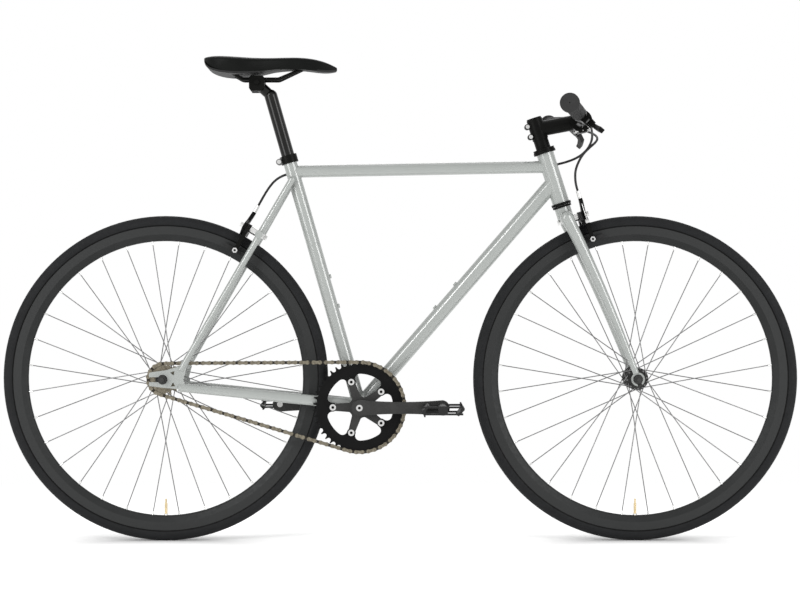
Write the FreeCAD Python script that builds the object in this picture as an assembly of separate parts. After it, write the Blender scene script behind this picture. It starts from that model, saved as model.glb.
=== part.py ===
import FreeCAD
import Part
import math
import os
from FreeCAD import Vector

# A single-speed road bicycle with a diamond frame, modelled in millimetres.
# X points forward, Y to the rider's left, Z up. The origin lies on the ground,
# midway between the wheels. The drive side is the right side, at negative Y.

# Stance
WHEELBASE = 978.0
BB_DROP = 58.0
HEAD_ANGLE = 72.2
SEAT_ANGLE = 74.0
FORK_RAKE = 36.0

# Fits and small gaps
RUNNING_FIT = 0.05
RUNNING_GAP = 0.4
WELD_GAP = 0.02
PLAY = 0.1
CUT_OVER = 2.0
TINY = 1e-6
TANGENT_STEP = 0.01

# Tyre and rim
TYRE_RADIUS = 338.0
TYRE_WALL = 2.6
BEAD_DEPTH = 5.5
BEAD_THICKNESS = 2.6
TUBE_WALL = 1.2
RIM_RADIUS = 316.5
RIM_DEPTH = 31.0
RIM_WIDTH = 22.0
RIM_WALL = 2.0
RIM_TRACK = 17.0
RIM_NOSE_WIDTH = 12.0
RIM_NOSE_RISE = 3.6
RIM_FLOOR = 2.4
RIM_WELL = 7.5

# Spokes, nipples and valve
SPOKE_COUNT = 32
SPOKE_RADIUS = 1.0
SPOKE_HEAD_RADIUS = 2.0
SPOKE_HEAD_THICKNESS = 1.2
SPOKE_CROSSES = 3
NIPPLE_RADIUS = 2.0
NIPPLE_PLAY = 0.7
NIPPLE_LENGTH = 9.5
NIPPLE_HEAD_RADIUS = 3.0
NIPPLE_HEAD_THICKNESS = 2.5
VALVE_RADIUS = 2.9
VALVE_LENGTH = 34.0
VALVE_TIP_RADIUS = 1.9
VALVE_TIP_LENGTH = 9.0
VALVE_NUT_RADIUS = 4.6
VALVE_NUT_HEIGHT = 3.0

# Hubs and axles
FRONT_SPACING = 100.0
REAR_SPACING = 120.0
FRONT_AXLE_RADIUS = 4.5
REAR_AXLE_RADIUS = 5.0
HUB_BARREL_RADIUS = 14.0
HUB_WAIST_RADIUS = 12.6
FLANGE_RADIUS = 23.5
FLANGE_HOLE_CIRCLE = 20.5
FLANGE_THICKNESS = 3.0
FLANGE_OFFSET = 34.0
BEARING_WIDTH = 9.0
BEARING_RADIUS = 12.0
HUB_END_GAP = 4.0
CONE_RADIUS = 8.0
AXLE_NUT_FLATS = 15.0
AXLE_NUT_HEIGHT = 9.0
AXLE_WASHER_RADIUS = 10.0
AXLE_WASHER_THICKNESS = 1.6
AXLE_END = 7.0
AXLE_END_STEP = 0.5

# Drivetrain
CHAIN_PITCH = 12.7
CHAIN_LINKS = 96
CHAINRING_TEETH = 46
SPROCKET_TEETH = 16
CHAIN_LINE = 42.5
ROLLER_RADIUS = 3.9
ROLLER_SEAT_CLEARANCE = 0.45
PIN_RADIUS = 1.8
PIN_HEAD = 0.4
INNER_WIDTH = 3.4
PLATE_THICKNESS = 1.2
PLATE_HALF_HEIGHT = 4.2
PLATE_WAIST = 3.1
TOOTH_THICKNESS = 2.6
TOOTH_TIP_HEIGHT = 3.2
TOOTH_TIP_WIDTH = 2.2
SEAT_HALF_ANGLE = 58.0
CHAINRING_INNER_RADIUS = 69.0
CHAINRING_STEP_RADIUS = 84.5
CHAINRING_BODY_THICKNESS = 3.6
BOLT_CIRCLE = 110.0
BOLT_COUNT = 5
CHAINRING_TAB_RADIUS = 9.0
CHAINRING_WEB_RADIUS = 10.0
CHAINRING_BOLT_RADIUS = 5.0
CHAINRING_BOLT_HEAD = 1.6
HUB_SHOULDER_RADIUS = 17.5
LOCKRING_RADIUS = 20.5
LOCKRING_THICKNESS = 4.0
SPROCKET_SEAT_RADIUS = 16.0

# Cranks and pedals
CRANK_LENGTH = 170.0
CRANK_THICKNESS = 13.0
CRANK_BOSS_RADIUS = 16.0
CRANK_ROOT_RADIUS = 15.0
CRANK_EYE_RADIUS = 15.5
CRANK_WAIST = 24.0
CRANK_INNER_FACE = 60.0
SPIDER_WIDTH = 14.0
SPIDER_THICKNESS = 6.0
SPIDER_HUB_RADIUS = 22.0
SPIDER_ROOT_RADIUS = 11.2
SPIDER_WEB_RADIUS = 5.0
SPINDLE_RADIUS = 8.5
SPINDLE_TAPER_RADIUS = 7.0
CRANK_BOLT_RADIUS = 6.5
CRANK_BOLT_HEAD = 3.0
PEDAL_AXLE_RADIUS = 6.0
PEDAL_AXLE_FLANGE = 8.5
PEDAL_WIDTH = 92.0
PEDAL_LENGTH = 86.0
PEDAL_BARREL_RADIUS = 9.5
PEDAL_BAR_HEIGHT = 4.0
PEDAL_RAIL_OFFSET = 7.0
PEDAL_END_THICKNESS = 6.0
PEDAL_RIB_THICKNESS = 5.0
PEDAL_TOOTH = 2.0
PEDAL_TOOTH_COUNT = 6

# End plate of a pedal, from the middle of the pedal's end: ahead, up
PEDAL_END_OUTLINE = ((-6.0, 11.0), (0.0, 5.0), (0.0, 1.5), (-12.0, -11.0), (-15.6, -9.0), (-8.4, 0.0))

# Frame tubes
HEAD_TUBE_RADIUS = 18.0
HEAD_TUBE_BORE = 15.1
HEAD_TUBE_LENGTH = 108.0
HEADSET_STACK = 10.3
TOP_TUBE_RADIUS = 12.7
TOP_TUBE_WALL = 1.0
TOP_TUBE_ON_SEAT = 508.0
TOP_TUBE_ON_HEAD = 78.7
DOWN_TUBE_RADIUS = 15.9
DOWN_TUBE_WALL = 1.0
DOWN_TUBE_ON_HEAD = 46.2
SEAT_TUBE_RADIUS = 14.3
SEAT_TUBE_LENGTH = 543.0
SEAT_SLIT_WIDTH = 3.0
SEAT_SLIT_LENGTH = 30.0
BB_SHELL_RADIUS = 20.5
BB_SHELL_BORE = 17.4
BB_SHELL_WIDTH = 68.0
CUP_FLANGE_RADIUS = 20.0
CUP_FLANGE_THICKNESS = 2.5
CUP_LENGTH = 16.0
CHAINSTAY_HEIGHT = 24.0
CHAINSTAY_WIDTH = 15.0
CHAINSTAY_END_HEIGHT = 17.0
CHAINSTAY_END_WIDTH = 13.0
CHAINSTAY_WALL = 1.2
CHAINSTAY_RISE = 3.5
CHAINSTAY_INSET = 19.0
CHAINSTAY_FOOT_FORWARD = 32.0
CHAINSTAY_FOOT_DOWN = 16.0
CHAINSTAY_BRIDGE_AHEAD = 47.0
SEATSTAY_RADIUS = 7.0
SEATSTAY_WALL = 1.0
SEATSTAY_ON_SEAT = 491.0
SEATSTAY_SET_BACK = 5.5
SEATSTAY_INSET = 19.5
SEATSTAY_FOOT_FORWARD = 37.0
SEATSTAY_FOOT_UP = 19.0
STAY_PLUG = 14.0
BRIDGE_RADIUS = 8.0
CHAINSTAY_BRIDGE_RADIUS = 5.5
DROPOUT_THICKNESS = 6.0
DROPOUT_SLOT_LENGTH = 28.0
DROPOUT_CORNER = 4.0
DROPOUT_WINDOW_RADIUS = 5.5
BOSS_RADIUS = 4.5
BOSS_HEIGHT = 3.0
BOSS_BORE = 2.1
BOSS_BORE_DEPTH = 2.4
BOSS_ROOT = 0.5
BOSS_SPACING = 64.0
SEAT_BOSS_LOW = 213.0
DOWN_BOSS_LOW = 258.0
GUIDE_COUNT = 3
GUIDE_WIDTH = 8.0
GUIDE_WALL = 1.4
GUIDE_FOOT = 6.4

# Headset, steerer and fork
STEERER_RADIUS = 12.7
STEERER_WALL = 1.6
STEERER_GAP = 0.6
CUP_RADIUS = 20.8
CUP_TOP_RADIUS = 23.3
CUP_HEIGHT = 5.4
CUP_SLEEVE = 10.0
HEADSET_BALL_RADIUS = 17.0
HEADSET_LEDGE = 1.0
CROWN_RADIUS = 14.0
CROWN_HALF_WIDTH = 34.0
CROWN_ABOVE_BOLT = 5.0
RACE_ABOVE_BOLT = 28.3
CROWN_NECK_RADIUS = 17.0
STEERER_SEAT = 16.0
LEG_TOP_RADIUS = 13.4
LEG_TIP_RADIUS = 6.2
LEG_WALL = 1.2
LEG_BOW = 5.0
LEG_STATIONS = 5
LEG_PLUG_SHARE = 0.12
FORK_END_RADIUS = 14.0
FORK_END_THICKNESS = 5.0
LEG_FOOT = 13.0
SPACER_COUNT = 2
SPACER_HEIGHT = 10.0
SPACER_RADIUS = 15.4
TOP_CAP_THICKNESS = 3.0

# Stem, handlebar, grips and levers
STEM_HEIGHT = 44.0
STEM_CLAMP_RADIUS = 16.6
STEM_RADIUS = 15.8
STEM_LENGTH = 91.0
STEM_DROP_ANGLE = 7.0
BAR_CLAMP_RADIUS = 23.0
BAR_CLAMP_WIDTH = 46.0
BAR_SEAT_RADIUS = 15.9
FACEPLATE_GAP = 1.6
FACEPLATE_EAR = 9.0
FACEPLATE_EAR_HEIGHT = 10.4
STEM_BOLT_RADIUS = 2.5
STEM_BOLT_HEAD_RADIUS = 4.2
STEM_BOLT_HEAD = 5.0
STEM_EAR_RADIUS = 6.0
STEM_SLIT = 2.0
STEM_BOLT_SHARES = (0.25, 0.75)
BAR_RADIUS = 11.1
BAR_WALL = 2.0
BAR_HALF_WIDTH = 280.0
BAR_SETBACK = 45.0
BAR_RISE = 15.0
BAR_BEND_AT = 70.0
BAR_BULGE_HALF = 30.0
BAR_TAPER = 24.0
GRIP_LENGTH = 125.0
GRIP_RADIUS = 15.5
GRIP_FLANGE_RADIUS = 19.6
GRIP_FLANGE = 5.0
GRIP_CAP = 3.0
GRIP_VENT_RADIUS = 1.2
GRIP_GROOVES = 9
GRIP_GROOVE_DEPTH = 1.0
GRIP_GROOVE_WIDTH = 4.0
LEVER_FROM_GRIP = 18.0
LEVER_ANGLE = 40.0
LEVER_CLAMP_WIDTH = 16.0
LEVER_CLAMP_RADIUS = 15.0
LEVER_BODY_WIDTH = 22.0
LEVER_BODY_THICKNESS = 16.0
LEVER_PIVOT_OUT = 31.0
LEVER_PIN_RADIUS = 2.5
LEVER_EYE_RADIUS = 7.0
LEVER_THICKNESS = 9.0
LEVER_REACH = 92.0
LEVER_FLARE = 42.0
LEVER_BARREL_RADIUS = 4.2
LEVER_BARREL_LENGTH = 15.0

# Lever blade from pivot to tip: share of its reach, share of its flare, radius
LEVER_BLADE = ((0.0, 0.0, 6.0), (0.3, 0.5, 5.5), (0.72, 0.82, 5.0), (1.0, 1.0, 5.5))

# Brakes and cables
BRAKE_REACH = 53.25
BRAKE_SET_OUT = 25.0
BRAKE_ARM_THICKNESS = 8.0
BRAKE_ARM_GAP = 0.6
BRAKE_BOLT_RADIUS = 3.0
BRAKE_NUT_FLATS = 10.0
BRAKE_NUT_HEIGHT = 6.0
BRAKE_EYE_RADIUS = 9.0
BRAKE_SPACER_RADIUS = 8.0
BRAKE_ARM_SPREAD = 27.0
BRAKE_ARM_RADIUS = 5.0
BRAKE_CABLE_SIDE = 36.0
BRAKE_ADJUSTER_UP = 30.0
BRAKE_ANCHOR_DOWN = 14.0
ADJUSTER_RADIUS = 4.0
ADJUSTER_LENGTH = 16.0
PAD_GAP = 1.8
PAD_THICKNESS = 6.0
PAD_LENGTH = 50.0
PAD_HEIGHT = 8.0
PAD_DEPTH = 13.0
SHOE_THICKNESS = 3.0
SHOE_STUD_RADIUS = 2.6
HOUSING_RADIUS = 2.5
WIRE_RADIUS = 0.8
CABLE_ARC_SHARE = 0.45

# Seatpost and saddle
POST_RADIUS = 13.6
POST_WALL = 2.0
POST_INSERT = 150.0
POST_TOP = 672.0
POST_HEAD_RADIUS = 11.0
POST_EYE_RADIUS = 14.0
POST_EYE_WIDTH = 28.0
CLAMP_BACK = 28.0
CLAMP_UP = 26.0
CLAMP_PIVOT_RADIUS = 9.0
CLAMP_END_WIDTH = 12.0
CLAMP_BOLT_RADIUS = 3.0
RAIL_RADIUS = 3.5
RAIL_ABOVE_CLAMP = 7.0
SEAT_COLLAR_HEIGHT = 17.0
SEAT_COLLAR_WALL = 3.6
SEAT_EAR_RADIUS = 6.5
SEAT_EAR_GAP = 3.0
SEAT_BOLT_RADIUS = 2.6
SEAT_BOLT_HEAD_RADIUS = 4.4
SADDLE_SHELL = 4.0
SADDLE_TUCK = 0.86
SADDLE_CROWN = 0.45
RAIL_SOCKET = 0.3
RAIL_BEND = 14.0
RAIL_FRONT = (94.0, 9.0, 29.0)
RAIL_DIP_FRONT = 45.0
RAIL_DIP_BACK = -30.0
RAIL_BACK = (-52.0, 30.0, 20.0)

# Rail cradle's outline, from the saddle clamp: ahead, up
CLAMP_CRADLE = ((-16.0, 10.0), (-12.0, 14.0), (12.0, 14.0), (16.0, 10.0), (16.0, -8.0), (8.0, -18.0),
                (-12.0, -18.0), (-16.0, -12.0))

# Saddle sections from tail to nose, from the saddle clamp: ahead, half width, top, underside
SADDLE_SECTIONS = (
    (-107.0, 40.0, 51.0, 39.0),
    (-88.0, 64.0, 54.5, 22.0),
    (-48.0, 72.0, 52.5, 15.5),
    (-4.0, 60.0, 49.5, 18.0),
    (42.0, 36.0, 51.0, 26.0),
    (94.0, 23.0, 54.0, 27.0),
    (138.0, 19.0, 46.0, 22.0),
    (164.0, 9.0, 33.0, 24.0),
)

# Triangular windows in each track end, from the axle: ahead, up, turn
DROPOUT_WINDOWS = ((21.0, 13.5, 50.0), (21.5, -11.0, 90.0))

# Brake housing routes between their end fittings
FRONT_HOUSING = (
    (382.5, 101.0, 862.8), (388.0, 83.5, 860.5), (394.5, 65.0, 857.0), (407.0, 32.5, 848.5),
    (412.0, 10.5, 839.0), (406.5, -5.0, 829.5), (392.0, -17.0, 817.5), (374.5, -26.5, 800.0),
    (361.5, -33.0, 772.5), (360.5, -35.3, 752.0), (362.8, -36.0, 736.4))
LOOP_HOUSING = (
    (382.5, -101.0, 862.8), (388.0, -77.0, 859.0), (393.5, -52.0, 852.5), (398.5, -11.0, 834.5),
    (391.5, 14.5, 816.0), (373.0, 26.5, 799.5), (343.0, 29.5, 788.0), (306.0, 26.0, 781.0),
    (264.0, 20.0, 777.5), (242.5, 17.5, 777.0), (231.0, 16.6, 776.9))
REAR_HOUSING = (
    (-203.0, 16.6, 768.7), (-217.0, 17.5, 767.6), (-235.0, 19.7, 764.6), (-249.0, 22.7, 760.0),
    (-261.0, 26.4, 752.8), (-270.5, 30.0, 743.5), (-279.5, 33.0, 731.5), (-288.5, 35.2, 716.7),
    (-293.6, 36.0, 707.6))

LEFT = Vector(0, 1, 0)
UP = Vector(0, 0, 1)


# Basic shapes

def slope(degrees):
    """Unit vector in the side view, at an angle above forward."""
    angle = math.radians(degrees)
    return Vector(math.cos(angle), 0, math.sin(angle))


def rod(start, end, radius):
    return Part.makeCylinder(radius, (end - start).Length, start, end - start)


def disc(centre, axis, radius, thickness):
    half = Vector(axis).normalize() * (thickness / 2)
    return rod(centre - half, centre + half, radius)


def pipe(start, end, outer, inner):
    reach = (end - start).normalize() * CUT_OVER
    return rod(start, end, outer).cut(rod(start - reach, end + reach, inner))


def ring(centre, axis, outer, inner, thickness):
    half = Vector(axis).normalize() * (thickness / 2)
    return pipe(centre - half, centre + half, outer, inner)


def block(centre, axes, sizes):
    """Box about a centre, along three unit vectors."""
    half = [axis * (size / 2) for axis, size in zip(axes, sizes)]
    corner = centre - half[0] - half[1] - half[2]
    face = Part.Face(Part.makePolygon([
        corner, corner + half[0] * 2, corner + half[0] * 2 + half[1] * 2, corner + half[1] * 2, corner]))
    return face.extrude(half[2] * 2)


def hexagon(start, axis, flats, height):
    """Six-sided prism from a start point along an axis."""
    along = Vector(axis).normalize()
    across = along.cross(UP)
    if across.Length < 0.5:
        across = along.cross(LEFT)
    across.normalize()
    corner = flats / math.sqrt(3)
    points = []
    for index in range(7):
        turn = FreeCAD.Rotation(along, 60.0 * index)
        points.append(start + turn.multVec(across * corner))
    return Part.Face(Part.makePolygon(points)).extrude(along * height)


def outline(points, to_space):
    """Closed wire through flat points; a point of four numbers is an arc by way of its first two."""
    here = to_space(*points[0])
    edges = []
    for point in points[1:] + [points[0][-2:]]:
        end = to_space(*point[-2:])
        if (end - here).Length < TINY:
            continue
        if len(point) == 4:
            edges.append(Part.Arc(here, to_space(*point[:2]), end).toShape())
        else:
            edges.append(Part.LineSegment(here, end).toShape())
        here = end
    return Part.Wire(edges)


def slab(points, to_space, depth):
    return Part.Face(outline(points, to_space)).extrude(depth)


def turned(points, centre):
    """Solid of revolution about the crosswise axis, from points of radius and sideways place."""
    wire = outline(points, lambda radius, side: centre + Vector(radius, side, 0))
    return Part.Face(wire).revolve(centre, LEFT, 360)


def join(shapes):
    whole = shapes[0].multiFuse(shapes[1:]) if len(shapes) > 1 else shapes[0]
    return whole.removeSplitter()


def largest(shape):
    return max(shape.Solids, key=lambda solid: solid.Volume)


def mirrored(shape):
    return shape.mirror(Vector(0, 0, 0), LEFT)


def both_sides(shapes):
    return shapes + [mirrored(shape) for shape in shapes]


def circle_wire(centre, axis, radius):
    return Part.Wire(Part.Circle(centre, axis, radius).toShape())


def bend_radius(before, corner, after, share):
    """Largest arc radius at a corner that uses a share of the shorter run."""
    arriving = corner - before
    leaving = after - corner
    turn = arriving.getAngle(leaving)
    return share * min(arriving.Length, leaving.Length) / math.tan(turn / 2)


def bent_path(points, share, radius=None):
    """Straight runs joined by tangent arcs, as one wire."""
    edges = []
    here = points[0]
    for before, corner, after in zip(points, points[1:], points[2:]):
        arriving = (corner - before).normalize()
        leaving = (after - corner).normalize()
        half_turn = arriving.getAngle(leaving) / 2
        bend = radius or bend_radius(before, corner, after, share)
        setback = bend * math.tan(half_turn)
        start = corner - arriving * setback
        end = corner + leaving * setback
        inward = (leaving - arriving).normalize()
        middle = corner + inward * (bend / math.cos(half_turn) - bend)
        if (start - here).Length > TINY:
            edges.append(Part.LineSegment(here, start).toShape())
        edges.append(Part.Arc(start, middle, end).toShape())
        here = end
    edges.append(Part.LineSegment(here, points[-1]).toShape())
    return Part.Wire(edges)


def bent_rod(points, section, share=CABLE_ARC_SHARE, radius=None):
    """Round bar along straight runs and tangent arcs."""
    path = bent_path(points, share, radius)
    profile = circle_wire(points[0], points[1] - points[0], section)
    return Part.Wire(path).makePipeShell([profile], True, False)


def capsule_arm(points, to_space, depth):
    """Flat arm of one thickness: round eyes of given radii joined by straight webs."""
    pieces = []
    for across, up, radius in points:
        pieces.append(Part.makeCylinder(radius, depth.Length, to_space(across, up), depth))
    for (a1, u1, r1), (a2, u2, r2) in zip(points, points[1:]):
        length = math.hypot(a2 - a1, u2 - u1)
        side = ((u1 - u2) / length, (a2 - a1) / length)
        corners = [
            (a1 + side[0] * r1, u1 + side[1] * r1), (a2 + side[0] * r2, u2 + side[1] * r2),
            (a2 - side[0] * r2, u2 - side[1] * r2), (a1 - side[0] * r1, u1 - side[1] * r1)]
        pieces.append(slab(corners, to_space, depth))
    return join(pieces)


# Places that the whole bicycle hangs on

def pitch_radius(teeth):
    return CHAIN_PITCH / 2 / math.sin(math.pi / teeth)


RING_RADIUS = pitch_radius(CHAINRING_TEETH)
COG_RADIUS = pitch_radius(SPROCKET_TEETH)


def chain_slant(centres):
    return math.asin((RING_RADIUS - COG_RADIUS) / centres)


def links_for(centres):
    slant = chain_slant(centres)
    wrapped = CHAINRING_TEETH * (math.pi + 2 * slant) + SPROCKET_TEETH * (math.pi - 2 * slant)
    return 2 * centres * math.cos(slant) / CHAIN_PITCH + wrapped / (2 * math.pi)


def chainstay_length():
    """Distance from crank axis to rear axle at which the chain is just taut."""
    low = RING_RADIUS + COG_RADIUS
    high = CHAIN_LINKS * CHAIN_PITCH
    for _ in range(60):
        middle = (low + high) / 2
        if links_for(middle) < CHAIN_LINKS:
            low = middle
        else:
            high = middle
    return (low + high) / 2


CHAINSTAY = chainstay_length()
REAR_AXLE = Vector(-WHEELBASE / 2, 0, TYRE_RADIUS)
FRONT_AXLE = Vector(WHEELBASE / 2, 0, TYRE_RADIUS)
BB = REAR_AXLE + Vector(math.sqrt(CHAINSTAY ** 2 - BB_DROP ** 2), 0, -BB_DROP)

SEAT_DIR = slope(180 - SEAT_ANGLE)
SEAT_BACK = slope(270 - SEAT_ANGLE)
HEAD_DIR = slope(180 - HEAD_ANGLE)
HEAD_FWD = slope(90 - HEAD_ANGLE)
HEAD_FOOT = FRONT_AXLE - HEAD_FWD * FORK_RAKE

PAD_RADIUS = RIM_RADIUS - PAD_DEPTH
BRAKE_UP = PAD_RADIUS + BRAKE_REACH
RACE_AT = BRAKE_UP + RACE_ABOVE_BOLT
HEAD_LOW = RACE_AT + HEADSET_STACK
HEAD_TOP = HEAD_LOW + HEAD_TUBE_LENGTH
SPACERS_AT = HEAD_TOP + HEADSET_STACK
STEM_LOW = SPACERS_AT + SPACER_COUNT * SPACER_HEIGHT
STEM_TOP = STEM_LOW + STEM_HEIGHT


def head_point(up, forward=0.0, left=0.0):
    """Point by its height on the steering axis above the front axle's foot there."""
    return HEAD_FOOT + HEAD_DIR * up + HEAD_FWD * forward + LEFT * left


def seat_point(up, back=0.0, left=0.0):
    """Point by its height on the seat tube's axis above the crank axis."""
    return BB + SEAT_DIR * up + SEAT_BACK * back + LEFT * left


SEATSTAY_TOP = seat_point(SEATSTAY_ON_SEAT, SEATSTAY_SET_BACK, SEATSTAY_INSET)
DROPOUT_MID = REAR_SPACING / 2 + DROPOUT_THICKNESS / 2
SEATSTAY_FOOT = REAR_AXLE + Vector(SEATSTAY_FOOT_FORWARD, DROPOUT_MID, SEATSTAY_FOOT_UP)
CHAINSTAY_TOP = BB + Vector(0, CHAINSTAY_INSET, CHAINSTAY_RISE)
CHAINSTAY_FOOT = REAR_AXLE + Vector(CHAINSTAY_FOOT_FORWARD, DROPOUT_MID, -CHAINSTAY_FOOT_DOWN)

STAY_LINE = SEATSTAY_TOP - SEATSTAY_FOOT
STAY_DIR = Vector(STAY_LINE.x, 0, STAY_LINE.z).normalize()
STAY_OUT = STAY_DIR.cross(LEFT)
STAY_OFFSET = (SEATSTAY_FOOT - REAR_AXLE).dot(STAY_OUT)
BRIDGE = REAR_AXLE + STAY_OUT * STAY_OFFSET + STAY_DIR * BRAKE_UP

HEAD_TUBE_SOLID = rod(head_point(HEAD_LOW), head_point(HEAD_TOP), HEAD_TUBE_RADIUS + WELD_GAP)
SEAT_TUBE_SOLID = rod(BB, seat_point(SEAT_TUBE_LENGTH), SEAT_TUBE_RADIUS + WELD_GAP)
BB_SHELL_SOLID = disc(BB, LEFT, BB_SHELL_RADIUS + WELD_GAP, BB_SHELL_WIDTH)
TOP_TUBE_START = seat_point(TOP_TUBE_ON_SEAT)
TOP_TUBE_END = head_point(HEAD_LOW + TOP_TUBE_ON_HEAD)
TOP_TUBE_DIR = (TOP_TUBE_END - TOP_TUBE_START).normalize()
DOWN_TUBE_END = head_point(HEAD_LOW + DOWN_TUBE_ON_HEAD)
DOWN_TUBE_DIR = (DOWN_TUBE_END - BB).normalize()

nodes = {}


# Frame

def main_tubes():
    """Head, top, down and seat tubes, mitred to each other, and the shell at the cranks."""
    nodes["head_tube"] = [pipe(head_point(HEAD_LOW), head_point(HEAD_TOP), HEAD_TUBE_RADIUS, HEAD_TUBE_BORE)]
    top = pipe(TOP_TUBE_START, TOP_TUBE_END, TOP_TUBE_RADIUS, TOP_TUBE_RADIUS - TOP_TUBE_WALL)
    nodes["top_tube"] = [largest(top.cut(SEAT_TUBE_SOLID).cut(HEAD_TUBE_SOLID))]
    down = pipe(BB, DOWN_TUBE_END, DOWN_TUBE_RADIUS, DOWN_TUBE_RADIUS - DOWN_TUBE_WALL)
    for neighbour in (BB_SHELL_SOLID, SEAT_TUBE_SOLID, HEAD_TUBE_SOLID):
        down = down.cut(neighbour)
    nodes["down_tube"] = [largest(down)]
    seat = pipe(BB, seat_point(SEAT_TUBE_LENGTH), SEAT_TUBE_RADIUS, POST_RADIUS + RUNNING_FIT)
    slit_centre = seat_point(SEAT_TUBE_LENGTH - SEAT_SLIT_LENGTH / 2, SEAT_TUBE_RADIUS)
    slit = block(slit_centre, (SEAT_BACK, LEFT, SEAT_DIR),
                 (SEAT_TUBE_RADIUS, SEAT_SLIT_WIDTH, SEAT_SLIT_LENGTH + TINY))
    nodes["seat_tube"] = [largest(seat.cut(BB_SHELL_SOLID).cut(slit))]
    nodes["bottom_bracket_shell"] = [ring(BB, LEFT, BB_SHELL_RADIUS, BB_SHELL_BORE, BB_SHELL_WIDTH)]


def upright(turn):
    """Direction in the bicycle's upright plane, turned up from straight ahead."""
    return Vector(math.cos(math.radians(turn)), 0, math.sin(math.radians(turn)))


def dropout_plate():
    """Left track end: a plate with a slot that opens to the rear."""
    slot = REAR_AXLE_RADIUS + PLAY
    foot_up = SEATSTAY_FOOT_UP + SEATSTAY_RADIUS
    foot_down = CHAINSTAY_FOOT_DOWN + CHAINSTAY_END_HEIGHT / 2
    stay_front = SEATSTAY_FOOT_FORWARD + STAY_PLUG / 2
    chain_front = CHAINSTAY_FOOT_FORWARD + STAY_PLUG
    arm = slot + AXLE_WASHER_RADIUS
    back = -DROPOUT_SLOT_LENGTH
    corner = DROPOUT_CORNER
    points = [
        (back, slot), (back, arm - corner / 2), (back + corner, arm), (slot, arm + corner),
        (stay_front - STAY_PLUG, foot_up), (stay_front, foot_up + corner),
        (stay_front + corner, foot_up - corner), (chain_front - corner, 0.0),
        (chain_front, corner * 3 - foot_down), (chain_front - corner / 2, corner - foot_down),
        (slot, -arm - corner / 2), (back, corner / 2 - arm), (back, -slot), (0.0, -slot),
        (slot, 0.0, 0.0, slot)]
    base = REAR_AXLE + LEFT * (REAR_SPACING / 2)
    plate = slab(points, lambda ahead, up: base + Vector(ahead, 0, up), LEFT * DROPOUT_THICKNESS)
    for ahead, up, turn in DROPOUT_WINDOWS:
        middle = base + Vector(ahead, 0, up)
        corners = [middle + upright(turn + step) * DROPOUT_WINDOW_RADIUS for step in (0.0, 120.0, 240.0)]
        window = Part.Face(Part.makePolygon(corners + corners[:1]))
        plate = plate.cut(window.extrude(LEFT * DROPOUT_THICKNESS))
    return plate


def oval_stay(start, end, grow):
    """Stay that tapers from a tall oval to a smaller one."""
    along = (end - start).normalize()
    across = along.cross(UP).normalize()
    sizes = ((start, CHAINSTAY_HEIGHT, CHAINSTAY_WIDTH), (end, CHAINSTAY_END_HEIGHT, CHAINSTAY_END_WIDTH))
    wires = []
    for place, height, width in sizes:
        tall = place + across.cross(along) * (height / 2 + grow)
        wide = place + across * (width / 2 + grow)
        wires.append(Part.Wire(Part.Ellipse(tall, wide, place).toShape()))
    return Part.makeLoft(wires, True, True)


def rear_triangle():
    """Track ends, chainstays and seatstays, each stay slotted over its track end."""
    plate = dropout_plate()
    nodes["rear_dropouts"] = both_sides([plate])
    stay = oval_stay(CHAINSTAY_TOP, CHAINSTAY_FOOT, 0.0)
    back = (CHAINSTAY_TOP - CHAINSTAY_FOOT).normalize()
    hollow = oval_stay(CHAINSTAY_TOP, CHAINSTAY_FOOT + back * STAY_PLUG, -CHAINSTAY_WALL)
    stay = stay.cut(hollow)
    for neighbour in (BB_SHELL_SOLID, SEAT_TUBE_SOLID, plate):
        stay = stay.cut(neighbour)
    nodes["chainstays"] = both_sides([largest(stay)])
    line = (SEATSTAY_TOP - SEATSTAY_FOOT).normalize()
    upper = rod(SEATSTAY_FOOT, SEATSTAY_TOP, SEATSTAY_RADIUS)
    cap = Part.makeSphere(SEATSTAY_RADIUS, SEATSTAY_TOP)
    hollow = rod(SEATSTAY_FOOT + line * STAY_PLUG, SEATSTAY_TOP, SEATSTAY_RADIUS - SEATSTAY_WALL)
    upper = join([upper, cap]).cut(hollow).cut(SEAT_TUBE_SOLID).cut(plate)
    nodes["seatstays"] = both_sides([largest(upper)])


def bottle_boss(tube_point, outward, radius):
    """Threaded boss that stands on a tube."""
    seat = tube_point + outward * (radius - BOSS_ROOT)
    top = tube_point + outward * (radius + BOSS_HEIGHT)
    tube_axis = outward.cross(LEFT)
    tube = disc(tube_point, tube_axis, radius + WELD_GAP, BOSS_SPACING)
    hole = rod(top - outward * BOSS_BORE_DEPTH, top + outward, BOSS_BORE)
    return rod(seat, top, BOSS_RADIUS).cut(tube).cut(hole)


def cable_guide(place):
    """Open clip on the left of the top tube that holds the rear brake housing."""
    out = TOP_TUBE_DIR.cross(UP) * -1
    centre = place + out * (TOP_TUBE_RADIUS + HOUSING_RADIUS + GUIDE_WALL)
    outer = HOUSING_RADIUS + GUIDE_WALL + PLAY
    clip = disc(centre, TOP_TUBE_DIR, outer, GUIDE_WIDTH)
    foot = block(centre - out * outer, (TOP_TUBE_DIR, out, TOP_TUBE_DIR.cross(out)),
                 (GUIDE_WIDTH, outer, GUIDE_FOOT))
    tube = rod(TOP_TUBE_START, TOP_TUBE_END, TOP_TUBE_RADIUS + WELD_GAP)
    bore = disc(centre, TOP_TUBE_DIR, HOUSING_RADIUS + PLAY, GUIDE_WIDTH * 2)
    return largest(join([clip, foot]).cut(bore).cut(tube))


def guide_place(index):
    run = TOP_TUBE_END - TOP_TUBE_START
    return TOP_TUBE_START + run * ((index + 0.5) / GUIDE_COUNT)


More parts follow.
